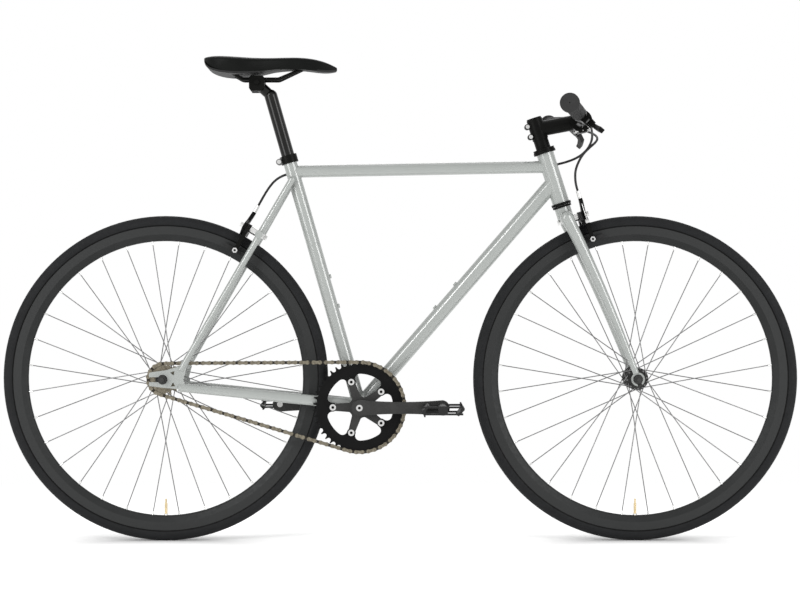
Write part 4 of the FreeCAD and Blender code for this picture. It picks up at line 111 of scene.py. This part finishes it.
# Shares of a bare wire's length from its adjuster: the end of its run with the outer arm, and
# the join of its two lengths
WIRE_LEAVE = 0.7
WIRE_MEET = 0.85

# Saddle sections from tail to nose, in millimetres from the saddle's clamp: ahead, half width,
# top, underside
SADDLE_SECTIONS = (
    (-107.0, 40.0, 51.0, 39.0), (-88.0, 64.0, 54.5, 22.0), (-48.0, 72.0, 52.5, 15.5),
    (-4.0, 60.0, 49.5, 18.0), (42.0, 36.0, 51.0, 26.0), (94.0, 23.0, 54.0, 27.0),
    (138.0, 19.0, 46.0, 22.0), (164.0, 9.0, 33.0, 24.0))
SADDLE_HEM = 0.3
SADDLE_TUCK = 0.9
# The rounded ends: how far they reach past the sections, and their share of a section's size
SADDLE_END = 2.0
SADDLE_TAIL_SHARE = 0.72
SADDLE_NOSE_SHARE = 0.7
# One side of a section from the seam to the crown: share of the half width, share of the height
SADDLE_SIDE = ((0.0, 0.0), (0.35, 0.05), (0.75, 0.3), (1.0, 0.56), (1.02, 0.74))
SADDLE_CROWN = ((0.93, 0.88), (0.72, 0.965), (0.38, 1.005), (0.0, 1.01))
SADDLE_LEVELS = 2
SADDLE_RENDER_LEVELS = 3

# Colours, as linear red, green and blue
PAINT = (0.325, 0.343, 0.328)
BLACK = (0.006, 0.006, 0.0055)
DARK_METAL = (0.045, 0.045, 0.044)
RUBBER = (0.012, 0.0125, 0.0132)
STEEL = (0.52, 0.52, 0.51)
DARK_STEEL = (0.16, 0.16, 0.16)
SILVER = (0.66, 0.66, 0.65)
BRASS = (0.62, 0.50, 0.30)
COVER = (0.006, 0.0065, 0.006)
# Near-black painted shade for the gap between tyre and rim
PAINTED_SEAM_SHADE = (0.001, 0.001, 0.001)
GRIP = (0.028, 0.028, 0.028)
PLASTIC = (0.016, 0.016, 0.016)
PAD = (0.02, 0.02, 0.02)
SLEEVE = (0.012, 0.012, 0.012)
CHAINRING = (0.008, 0.008, 0.008)
RIM_DARK = (0.019, 0.02, 0.02)
RIM_LIGHT = (0.023, 0.024, 0.024)
RIM_TRACK_TONE = (0.029, 0.03, 0.03)
OUTER_LINK = (0.26, 0.235, 0.18)
OUTER_LINK_OILED = (0.12, 0.105, 0.08)
# Inner links: the chain's metal darkened far below the outer links as painted shade between the
# outer plates
INNER_LINK_PAINTED_SHADE = (0.05, 0.045, 0.036)
INNER_LINK_OILED_PAINTED_SHADE = (0.02, 0.018, 0.015)

# The middle range of a noise texture, which holds most of its values
NOISE_LOW = 0.3
NOISE_HIGH = 0.7

# Tyre: the limits of the painted shade at the rim's edge, from that edge; the others from the
# tread's radius
PAINTED_SEAM_SHADE_BAND = (-0.001, 0.0025)
CROWN_BAND = (-0.0045, 0.01)
SIDEWALL_BAND = (-0.017, -0.008)
# Phase of the tread's grooves for a radian round the wheel and for a metre to the side
GROOVES_ROUND = 420.0
GROOVES_ACROSS = 900.0
GROOVE_SHARPNESS = 0.35
# Phase of the sidewall's ribs for a metre outward, and their height beside the grooves
RIBS_OUTWARD = 5200.0
RIB_HEIGHT = 0.2

# Rim: limits from the tread's radius, the outermost band painted black as painted shade by the
# tyre, and the phase of the turning lines for a metre outward
TRACK_BAND = (-0.0385, -0.0215)
PAINTED_HOOK_SHADE_BAND = (-0.0215, 0.0)
TRACK_LINES = 9000.0

# Seat collar: behind this its ears are bare steel
SEAT_EAR = -0.2465

# Chainring bolts: the radius of their ring, their number, and their sockets, which are painted
# black as painted shade
BOLT_RING = 0.055
BOLT_COUNT = 5
SOCKET_RADIUS = 0.003
SOCKET_EDGE = 0.0003

# Digits of a metre within which two vertices of a node are one
MERGE_DIGITS = 6


# Helpers

def add_object(name, data):
    thing = bpy.data.objects.new(name, data)
    bpy.context.scene.collection.objects.link(thing)
    return thing


def look(thing, place, target):
    """Puts a camera or lamp at a place, facing a target."""
    thing.location = place
    turn = (Vector(target) - Vector(place)).to_track_quat("-Z", "Y")
    thing.rotation_euler = turn.to_euler()


def mean(points):
    return sum(points, Vector()) / len(points)


def metres(point):
    return tuple(value / MM_PER_METRE for value in point)


def middle(node):
    low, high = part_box(node)
    return (low + high) / 2


def loft(name, rings):
    """Closed smooth mesh through rings of points, with a flat face at each end."""
    count = len(rings[0])
    points = [point for ring in rings for point in ring]
    faces = []
    for base in range(0, len(points) - count, count):
        for step in range(count):
            follow = (step + 1) % count
            faces.append((base + step, base + follow,
                          base + follow + count, base + step + count))
    faces.append(tuple(range(count))[::-1])
    faces.append(tuple(range(len(points) - count, len(points))))
    mesh = bpy.data.meshes.new(name)
    mesh.from_pydata(points, [], faces)
    mesh.shade_smooth()
    return add_object(name, mesh)


# Materials

class Finish:
    """A node material with one shader and helpers that wire textures into it."""

    def __init__(self, name):
        self.material = bpy.data.materials.new(name)
        self.material.use_nodes = True
        self.tree = self.material.node_tree
        self.shader = self.tree.nodes["Principled BSDF"]
        self.place = self.add("ShaderNodeTexCoord").outputs["Object"]

    def add(self, kind, **settings):
        node = self.tree.nodes.new(kind)
        for name, value in settings.items():
            setattr(node, name, value)
        return node

    def link(self, source, target):
        self.tree.links.new(source, target)

    def set(self, **values):
        for name, value in values.items():
            self.shader.inputs[name.replace("_", " ")].default_value = value

    def texture(self, kind, output, **inputs):
        """One output of a texture that lies on the object's own coordinates."""
        node = self.add(kind)
        for name, value in inputs.items():
            node.inputs[name].default_value = value
        self.link(self.place, node.inputs["Vector"])
        return node.outputs[output]

    def noise(self, scale, detail=4.0):
        return self.texture("ShaderNodeTexNoise", "Fac", Scale=scale, Detail=detail)

    def cells(self, scale):
        return self.texture("ShaderNodeTexVoronoi", "Distance", Scale=scale)

    def axes(self):
        split = self.add("ShaderNodeSeparateXYZ")
        self.link(self.place, split.inputs["Vector"])
        return split.outputs

    def math(self, operation, *values):
        node = self.add("ShaderNodeMath", operation=operation)
        for socket, value in zip(node.inputs, values):
            if isinstance(value, (int, float)):
                socket.default_value = value
            else:
                self.link(value, socket)
        return node.outputs["Value"]

    def hypotenuse(self, first, second):
        squares = [self.math("MULTIPLY", side, side) for side in (first, second)]
        return self.math("SQRT", self.math("ADD", *squares))

    def wave(self, value, phase):
        return self.math("SINE", self.math("MULTIPLY", value, phase))

    def ramp(self, value, start, end, low=0.0, high=1.0):
        """Runs from low to high as the value goes from start to end, and stays there."""
        node = self.add("ShaderNodeMapRange")
        node.inputs["From Min"].default_value = start
        node.inputs["From Max"].default_value = end
        node.inputs["To Min"].default_value = low
        node.inputs["To Max"].default_value = high
        self.link(value, node.inputs["Value"])
        return node.outputs["Result"]

    def spread(self, noise, low=0.0, high=1.0):
        """A noise's middle range stretched to run from low to high."""
        return self.ramp(noise, NOISE_LOW, NOISE_HIGH, low, high)

    def band(self, value, base, limits, soft):
        """1 between two limits, which are given from a base, with soft edges."""
        low, high = (base + limit for limit in limits)
        rise = self.ramp(value, low - soft, low + soft)
        fall = self.ramp(value, high + soft, high - soft)
        return self.math("MULTIPLY", rise, fall)

    def mix(self, factor, first, second):
        blend = self.add("ShaderNodeMix", data_type="RGBA")
        self.link(factor, blend.inputs["Factor"])
        for socket, colour in ((blend.inputs["A"], first), (blend.inputs["B"], second)):
            if isinstance(colour, tuple):
                socket.default_value = colour + (1.0,)
            else:
                self.link(colour, socket)
        return blend.outputs["Result"]

    def base(self, colour):
        self.link(colour, self.shader.inputs["Base Color"])

    def colour(self, tone, scale, change):
        """Base colour that wanders a little round its tone."""
        darker = tuple(channel * (1 - change) for channel in tone)
        lighter = tuple(channel * (1 + change) for channel in tone)
        result = self.mix(self.spread(self.noise(scale)), darker, lighter)
        self.base(result)
        return result

    def rough(self, scale, low, high):
        roughness = self.spread(self.noise(scale), low, high)
        self.link(roughness, self.shader.inputs["Roughness"])

    def bump(self, height, strength, distance, socket="Normal"):
        node = self.add("ShaderNodeBump")
        node.inputs["Strength"].default_value = strength
        node.inputs["Distance"].default_value = distance
        self.link(height, node.inputs["Height"])
        self.link(node.outputs["Normal"], self.shader.inputs[socket])


def gloss_paint():
    finish = Finish("gloss paint")
    finish.set(Coat_Weight=1.0, Coat_Roughness=0.14, Coat_IOR=1.75, Specular_IOR_Level=0.2)
    finish.colour(PAINT, scale=18.0, change=0.02)
    finish.rough(scale=60.0, low=0.35, high=0.45)
    ripple = finish.noise(scale=160.0, detail=2.0)
    finish.bump(ripple, strength=0.004, distance=0.0003, socket="Coat Normal")
    return finish.material


def anodised(name, tone, low, high, shine=0.06, grain=0.08):
    """Dark dyed alloy; low and high are its roughness."""
    finish = Finish(name)
    finish.set(Metallic=0.2, Specular_IOR_Level=shine)
    finish.colour(tone, scale=40.0, change=0.12)
    finish.rough(scale=90.0, low=low, high=high)
    finish.bump(finish.noise(scale=2600.0, detail=3.0), strength=grain, distance=0.0002)
    return finish.material


def bare_metal(name, tone, low, high):
    """Drawn or plated metal with fine marks; low and high are its roughness."""
    finish = Finish(name)
    finish.set(Metallic=1.0)
    finish.colour(tone, scale=70.0, change=0.10)
    finish.rough(scale=160.0, low=low, high=high)
    finish.bump(finish.noise(scale=1800.0, detail=2.0), strength=0.06, distance=0.0002)
    return finish.material


def moulded(name, tone, low, high):
    """Moulded plastic or soft rubber with a fine grain; low and high are its roughness."""
    finish = Finish(name)
    finish.set(Specular_IOR_Level=0.2)
    finish.colour(tone, scale=30.0, change=0.10)
    finish.rough(scale=120.0, low=low, high=high)
    finish.bump(finish.cells(scale=1600.0), strength=0.15, distance=0.0002)
    return finish.material


def wheel_rings(finish, axle):
    """Distance from the axle, angle round it and place to the side, at any point of a wheel."""
    axes = finish.axes()
    ahead = finish.math("SUBTRACT", axes["X"], axle.x)
    above = finish.math("SUBTRACT", axes["Z"], axle.z)
    return finish.hypotenuse(ahead, above), finish.math("ARCTAN2", above, ahead), axes["Y"]


def tyre_rubber(name, axle, outer, edge):
    """Matt rubber: fine slanted tread grooves on the crown, a ribbed sidewall, and a near-black
    line of painted shade where it meets the rim.
    """
    finish = Finish(name)
    finish.set(Specular_IOR_Level=0.13)
    radius, angle, side = wheel_rings(finish, axle)
    tone = finish.colour(RUBBER, scale=35.0, change=0.12)
    # Painted shade: a near-black line across the rim's edge, for the shade in the gap between tyre
    # and rim
    painted_seam_shade = finish.band(radius, edge, PAINTED_SEAM_SHADE_BAND, soft=0.0005)
    finish.base(finish.mix(painted_seam_shade, tone, PAINTED_SEAM_SHADE))
    finish.rough(scale=140.0, low=0.55, high=0.75)
    around = finish.math("MULTIPLY", angle, GROOVES_ROUND)
    across = finish.math("MULTIPLY", finish.math("ABSOLUTE", side), GROOVES_ACROSS)
    slant = finish.math("SINE", finish.math("ADD", around, across))
    grooves = finish.math("POWER", finish.math("ABSOLUTE", slant), GROOVE_SHARPNESS)
    crown = finish.band(radius, outer, CROWN_BAND, soft=0.0008)
    tread = finish.math("MULTIPLY", crown, grooves)
    sidewall = finish.band(radius, outer, SIDEWALL_BAND, soft=0.0006)
    ribs = finish.math("MULTIPLY", sidewall, finish.wave(radius, RIBS_OUTWARD))
    height = finish.math("ADD", tread, finish.math("MULTIPLY", ribs, RIB_HEIGHT))
    finish.bump(height, strength=0.5, distance=0.0005)
    return finish.material


def rim_finish(name, axle, outer):
    """Dark satin alloy, with fine turning lines on the brake track, and its edge by the tyre
    painted black as painted shade.
    """
    finish = Finish(name)
    finish.set(Metallic=0.35, Specular_IOR_Level=0.2)
    radius = wheel_rings(finish, axle)[0]
    track = finish.band(radius, outer, TRACK_BAND, soft=0.0006)
    painted_hook_shade = finish.band(radius, outer, PAINTED_HOOK_SHADE_BAND, soft=0.0006)
    body = finish.mix(finish.spread(finish.noise(scale=25.0)), RIM_DARK, RIM_LIGHT)
    lighter = finish.mix(track, body, RIM_TRACK_TONE)
    # Painted shade: the rim's edge by the tyre is painted black for the shade of the gap there
    finish.base(finish.mix(painted_hook_shade, lighter, BLACK))
    finish.rough(scale=110.0, low=0.42, high=0.55)
    lines = finish.math("MULTIPLY", finish.wave(radius, TRACK_LINES), track)
    finish.bump(lines, strength=0.12, distance=0.0001)
    return finish.material


def bolt_heads(name, axle, ring, count):
    """Plated bolt heads round an axle and one on it, each with a socket bumped in and painted
    black as painted shade.
    """
    finish = Finish(name)
    finish.set(Metallic=1.0)
    radius, angle = wheel_rings(finish, axle)[:2]
    wrapped = finish.math("WRAP", angle, math.tau / count, 0.0)
    turn = finish.math("SUBTRACT", wrapped, math.pi / count)
    across = finish.math("MULTIPLY", radius, finish.math("SINE", turn))
    outward = finish.math("MULTIPLY", radius, finish.math("COSINE", turn))
    along = finish.math("SUBTRACT", outward, ring)
    nearest = finish.math("MINIMUM", finish.hypotenuse(across, along), radius)
    socket = finish.ramp(nearest, SOCKET_RADIUS + SOCKET_EDGE, SOCKET_RADIUS - SOCKET_EDGE)
    # Painted shade: the socket is painted black for the shade inside it
    finish.base(finish.mix(socket, SILVER, BLACK))
    finish.rough(scale=160.0, low=0.2, high=0.32)
    finish.bump(socket, strength=-0.6, distance=0.0005)
    return finish.material


def leather_cover():
    """Smooth black cover with fine pores and soft creases."""
    finish = Finish("saddle cover")
    finish.set(Specular_IOR_Level=0.06)
    finish.colour(COVER, scale=26.0, change=0.18)
    finish.rough(scale=80.0, low=0.38, high=0.5)
    creases = finish.math("MULTIPLY", finish.noise(scale=60.0), 1.5)
    height = finish.math("ADD", finish.cells(scale=900.0), creases)
    finish.bump(height, strength=0.18, distance=0.0004)
    return finish.material


def chain_metal(name, bright, oiled):
    """Bronze-grey links, darker with oil in places."""
    finish = Finish(name)
    finish.set(Metallic=0.9)
    finish.base(finish.mix(finish.spread(finish.noise(scale=240.0)), oiled, bright))
    finish.rough(scale=300.0, low=0.3, high=0.5)
    finish.bump(finish.noise(scale=2200.0, detail=2.0), strength=0.08, distance=0.0002)
    return finish.material


def floor_finish():
    """White that turns seamless away from the bicycle; near it the floor glows as painted light,
    with a soft painted shade under it where ambient occlusion dims the glow.
    """
    finish = Finish("floor")
    finish.colour(FLOOR_TONE, scale=3.0, change=0.01)
    finish.rough(scale=8.0, low=0.8, high=0.9)
    finish.set(Specular_IOR_Level=0.0, Emission_Color=WHITE)
    # Painted shade: the floor's glow dims where ambient occlusion finds the wheels near
    near = finish.add("ShaderNodeAmbientOcclusion", samples=FLOOR_SHADE_SAMPLES)
    near.inputs["Distance"].default_value = FLOOR_SHADE
    bare = finish.math("POWER", near.outputs["AO"], FLOOR_SHADE_POWER)
    lit = finish.math("MULTIPLY", bare, FLOOR_GLOW)
    finish.link(lit, finish.shader.inputs["Emission Strength"])
    away = finish.math("ABSOLUTE", finish.axes()["Y"])
    glow = finish.add("ShaderNodeEmission")
    blend = finish.add("ShaderNodeMixShader")
    finish.link(finish.ramp(away, FLOOR_NEAR, FLOOR_FAR), blend.inputs["Fac"])
    finish.link(finish.shader.outputs["BSDF"], blend.inputs[1])
    finish.link(glow.outputs["Emission"], blend.inputs[2])
    surface = finish.tree.nodes["Material Output"].inputs["Surface"]
    finish.link(blend.outputs["Shader"], surface)
    return finish.material


paint = gloss_paint()
black = anodised("black alloy", BLACK, low=0.32, high=0.42)
dark = anodised("dark alloy", DARK_METAL, low=0.36, high=0.48)
satin = anodised("satin black alloy", BLACK, low=0.5, high=0.6, shine=0.08)
gloss = anodised("polished black alloy", BLACK, low=0.12, high=0.18, shine=0.3, grain=0.01)
ring_alloy = anodised("chainring alloy", CHAINRING, low=0.35, high=0.45)
steel = bare_metal("drawn steel", STEEL, low=0.25, high=0.38)
dark_steel = bare_metal("dark steel", DARK_STEEL, low=0.3, high=0.42)
silver = bare_metal("plated steel", SILVER, low=0.16, high=0.28)
brass = bare_metal("plated brass", BRASS, low=0.22, high=0.34)
soft = moulded("grip rubber", GRIP, low=0.6, high=0.75)
plastic = moulded("black plastic", PLASTIC, low=0.45, high=0.6)
pad_rubber = moulded("pad rubber", PAD, low=0.65, high=0.8)
sleeve = moulded("housing sleeve", SLEEVE, low=0.3, high=0.4)
outer_link = chain_metal("outer link", OUTER_LINK, OUTER_LINK_OILED)
# The inner links' darker tones are painted shade between the outer plates
inner_link_painted_shade = chain_metal("inner link painted shade", INNER_LINK_PAINTED_SHADE, INNER_LINK_OILED_PAINTED_SHADE)
cover = leather_cover()


# Materials on the CAD nodes

def solids_of(mesh):
    """A number for each face that says which solid of the node it belongs to, in order."""
    spots = {}
    vertex = [spots.setdefault(tuple(round(value, MERGE_DIGITS) for value in point.co), len(spots))
              for point in mesh.vertices]
    root = list(range(len(spots)))

    def find(item):
        while root[item] != item:
            root[item] = root[root[item]]
            item = root[item]
        return item

    for face in mesh.polygons:
        first = find(vertex[face.vertices[0]])
        for other in face.vertices[1:]:
            root[find(vertex[other])] = first
    order = {}
    return [order.setdefault(find(vertex[face.vertices[0]]), len(order)) for face in mesh.polygons]


def dress(node, *materials):
    """Gives a node's solids their materials in turn; the last one serves the rest."""
    mesh = nodes[node].data
    mesh.materials.clear()
    for material in materials:
        mesh.materials.append(material)
    if len(materials) > 1:
        for face, solid in zip(mesh.polygons, solids_of(mesh)):
            face.material_index = min(solid, len(materials) - 1)


def dress_frame():
    finishes = (
        (paint, ("head_tube", "top_tube", "down_tube", "seat_tube", "bottom_bracket_shell",
                 "chainstays", "seatstays", "rear_dropouts", "frame_braze_ons", "fork_crown",
                 "fork_legs")),
        (black, ("headset_cups", "headset_races", "headset_spacers", "stem", "saddle_clamp",
                 "saddle_rails")),
        (satin, ("right_brake_lever", "left_brake_lever")),
        (gloss, ("handlebar", "seatpost")),
        (steel, ("steerer_tube", "bottom_bracket_cups", "crank_axles")),
        (silver, ("frame_bolts", "fork_bolts")),
        (soft, ("grips",)),
        (plastic, ("saddle_shell",)),
    )
    for material, names in finishes:
        for node in names:
            dress(node, material)
    dress("lever_brackets", black, silver, black, black, silver, black)
    dress("seat_clamp", black, dark_steel)
    for face in nodes["seat_clamp"].data.polygons:
        face.material_index = int(face.center.x < SEAT_EAR)


def dress_brakes():
    for end in ("front", "rear"):
        for arm in ("outer", "inner"):
            dress(end + "_brake_" + arm + "_arm", black, pad_rubber, silver)


def dress_wheels():
    for end in ("front", "rear"):
        axle = middle(end + "_rim")
        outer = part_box(end + "_tyre")[1].z - axle.z
        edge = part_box(end + "_rim")[1].z - axle.z
        dress(end + "_tyre", tyre_rubber(end + " tyre rubber", axle, outer, edge))
        dress(end + "_rim", rim_finish(end + " rim", axle, outer))
        dress(end + "_spokes", dark_steel)
        dress(end + "_nipples", silver)
        dress(end + "_hub", dark)
        dress(end + "_inner_tube", pad_rubber, brass, silver)
        dress(end + "_axle_set", dark)


def dress_drive():
    # Solids alternate between inner links, which carry painted shade, and outer links
    dress("chain", inner_link_painted_shade, outer_link)
    mesh = nodes["chain"].data
    for face, solid in zip(mesh.polygons, solids_of(mesh)):
        face.material_index = solid % 2
    dress("rear_sprocket", outer_link)
    dress("chainring", ring_alloy)
    bolts = bolt_heads("chainring bolts", middle("chainring"), BOLT_RING, BOLT_COUNT)
    dress("crank_bolts", bolts)
    for side in ("right", "left"):
        dress(side + "_crank", dark)
        dress(side + "_pedal", plastic)


# Brake housings and wires

def rod(name, points, radius):
    """Round closed rod through points on one line."""
    turn = (points[-1] - points[0]).to_track_quat("Z", "Y")
    angles = [math.tau * step / ROD_SIDES for step in range(ROD_SIDES)]
    ring = [turn @ Vector((math.cos(angle), math.sin(angle), 0.0)) * radius for angle in angles]
    piece = loft(name, [[point + spot for spot in ring] for point in points])
    piece.data.set_sharp_from_angle(angle=ROD_EDGE)
    return piece


def bare_wire(node, name):
    """Wire at a caliper in two lengths."""
    mesh = nodes[node].data
    used = {corner for face, solid in zip(mesh.polygons, solids_of(mesh)) if solid == WIRE_SOLID
            for corner in face.vertices}
    spots = [nodes[node].matrix_world @ mesh.vertices[corner].co for corner in used]
    centre = mean(spots)
    top = mean([spot for spot in spots if spot.z > centre.z])
    foot = mean([spot for spot in spots if spot.z < centre.z])
    leave = top.lerp(foot, WIRE_LEAVE)
    meet = top.lerp(foot, WIRE_MEET)
    wires = []
    for arm, points in (("outer", (top, leave, meet)), ("inner", (foot, meet))):
        wire = rod(name + "_" + arm, points, WIRE_RADIUS)
        wire.data.materials.append(silver)
        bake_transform(wire)
        wires.append(wire)
    return wires


def spline(name, route):
    """Smooth line that a route's points draw."""
    data = bpy.data.curves.new(name, "CURVE")
    data.dimensions = "3D"
    line = data.splines.new("NURBS")
    line.points.add(len(route) - 1)
    for point, place in zip(line.points, route):
        point.co = metres(place) + (1.0,)
    line.order_u = SPLINE_ORDER
    line.use_endpoint_u = True
    return add_object(name, data)


def thicken(curve):
    curve.data.bevel_depth = HOUSING_RADIUS
    curve.data.bevel_resolution = HOUSING_FINENESS
    curve.data.use_fill_caps = True


def evaluated_mesh(curve):
    bpy.context.view_layer.update()
    depsgraph = bpy.context.evaluated_depsgraph_get()
    return bpy.data.meshes.new_from_object(curve.evaluated_get(depsgraph))


def fixed_housing(name, route, body, brake):
    """Housing that stays with one body, and the bare wire at its caliper."""
    node = brake + "_cable"
    curve = spline(name, route)
    thicken(curve)
    curve.data.materials.append(sleeve)
    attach(curve, body)
    wires = bare_wire(node, name + "_wire")
    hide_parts(node)


def steering_loop():
    """Housing from the right lever to the top tube."""
    curve = spline("loop_line", LOOP_HOUSING)
    path = [vertex.co[:] for vertex in evaluated_mesh(curve).vertices]
    thicken(curve)
    mesh = evaluated_mesh(curve)
    bpy.data.objects.remove(curve)
    loop = add_object("rear_housing_loop", mesh)
    mesh.materials.clear()
    mesh.materials.append(sleeve)
    mesh.shade_smooth()
    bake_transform(loop)
    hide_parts("rear_brake_cable_loop")


# Saddle

def saddle_ring(centre, ahead, half, top, under, share):
    """Points round one section of the saddle's pad, drawn in to a share of its size."""
    base = under + SADDLE_HEM
    height = top - base
    tucked = half * SADDLE_TUCK
    side = [(tucked + (half - tucked) * out, base + height * up) for out, up in SADDLE_SIDE]
    side += [(half * out, base + height * up) for out, up in SADDLE_CROWN]
    ring = [(-left, up) for left, up in side] + [(left, up) for left, up in side[-2::-1]]
    waist = base + height / 2
    places = [Vector((ahead, left * share, waist + (up - waist) * share)) for left, up in ring]
    return [centre + place / MM_PER_METRE for place in places]


def saddle_pad():
    """Crowned cover with rounded ends, in the place of the plain pad."""
    low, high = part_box("saddle_pad")
    tail = SADDLE_SECTIONS[0]
    nose = SADDLE_SECTIONS[-1]
    highest = max(section[2] for section in SADDLE_SECTIONS)
    centre = Vector((low.x - tail[0] / MM_PER_METRE, 0.0, high.z - highest / MM_PER_METRE))
    rings = [saddle_ring(centre, tail[0] - SADDLE_END, *tail[1:], SADDLE_TAIL_SHARE)]
    rings += [saddle_ring(centre, *section, 1.0) for section in SADDLE_SECTIONS]
    rings.append(saddle_ring(centre, nose[0] + SADDLE_END, *nose[1:], SADDLE_NOSE_SHARE))
    pad = loft("saddle_cover", rings)
    pad.data.materials.append(cover)
    smooth = pad.modifiers.new("smooth", "SUBSURF")
    smooth.levels = SADDLE_LEVELS
    smooth.render_levels = SADDLE_RENDER_LEVELS
    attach(pad, "saddle")
    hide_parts("saddle_pad")


# Studio

def camera():
    data = bpy.data.cameras.new("camera")
    data.lens = CAMERA_LENS
    view = add_object("camera", data)
    look(view, CAMERA_AT, CAMERA_AIM)
    bpy.context.scene.camera = view
    bpy.context.scene.view_settings.view_transform = "Standard"


def studio_floor():
    bpy.ops.mesh.primitive_plane_add(size=FLOOR_SIZE)
    floor = bpy.context.object
    floor.name = "floor"
    floor.data.materials.append(floor_finish())


def lamps():
    for name, place, wide, high, power in LAMPS:
        light = bpy.data.lights.new(name, "AREA")
        light.shape = "RECTANGLE"
        light.size = wide
        light.size_y = high
        light.energy = power
        look(add_object(name, light), place, LAMP_AIM)


def backdrop():
    """World that is white to the camera and in reflections, and lights the bicycle dimly."""
    world = bpy.data.worlds.new("studio")
    bpy.context.scene.world = world
    world.use_nodes = True
    tree = world.node_tree
    shade = tree.nodes["Background"]
    shade.inputs["Color"].default_value = WHITE
    path = tree.nodes.new("ShaderNodeLightPath")
    level = tree.nodes.new("ShaderNodeMapRange")
    level.inputs["To Min"].default_value = AMBIENT
    level.inputs["To Max"].default_value = BACKGROUND
    seen = path.outputs["Is Camera Ray"]
    for kind in ("Is Glossy Ray", "Is Transmission Ray"):
        either = tree.nodes.new("ShaderNodeMath")
        either.operation = "MAXIMUM"
        tree.links.new(seen, either.inputs[0])
        tree.links.new(path.outputs[kind], either.inputs[1])
        seen = either.outputs["Value"]
    tree.links.new(seen, level.inputs["Value"])
    tree.links.new(level.outputs["Result"], shade.inputs["Strength"])


camera()
fixed_housing("front_housing", FRONT_HOUSING, "fork", "front_brake")
steering_loop()
fixed_housing("rear_housing", REAR_HOUSING, "frame", "rear_brake")
saddle_pad()
dress_frame()
dress_brakes()
dress_wheels()
dress_drive()
studio_floor()
lamps()
backdrop()
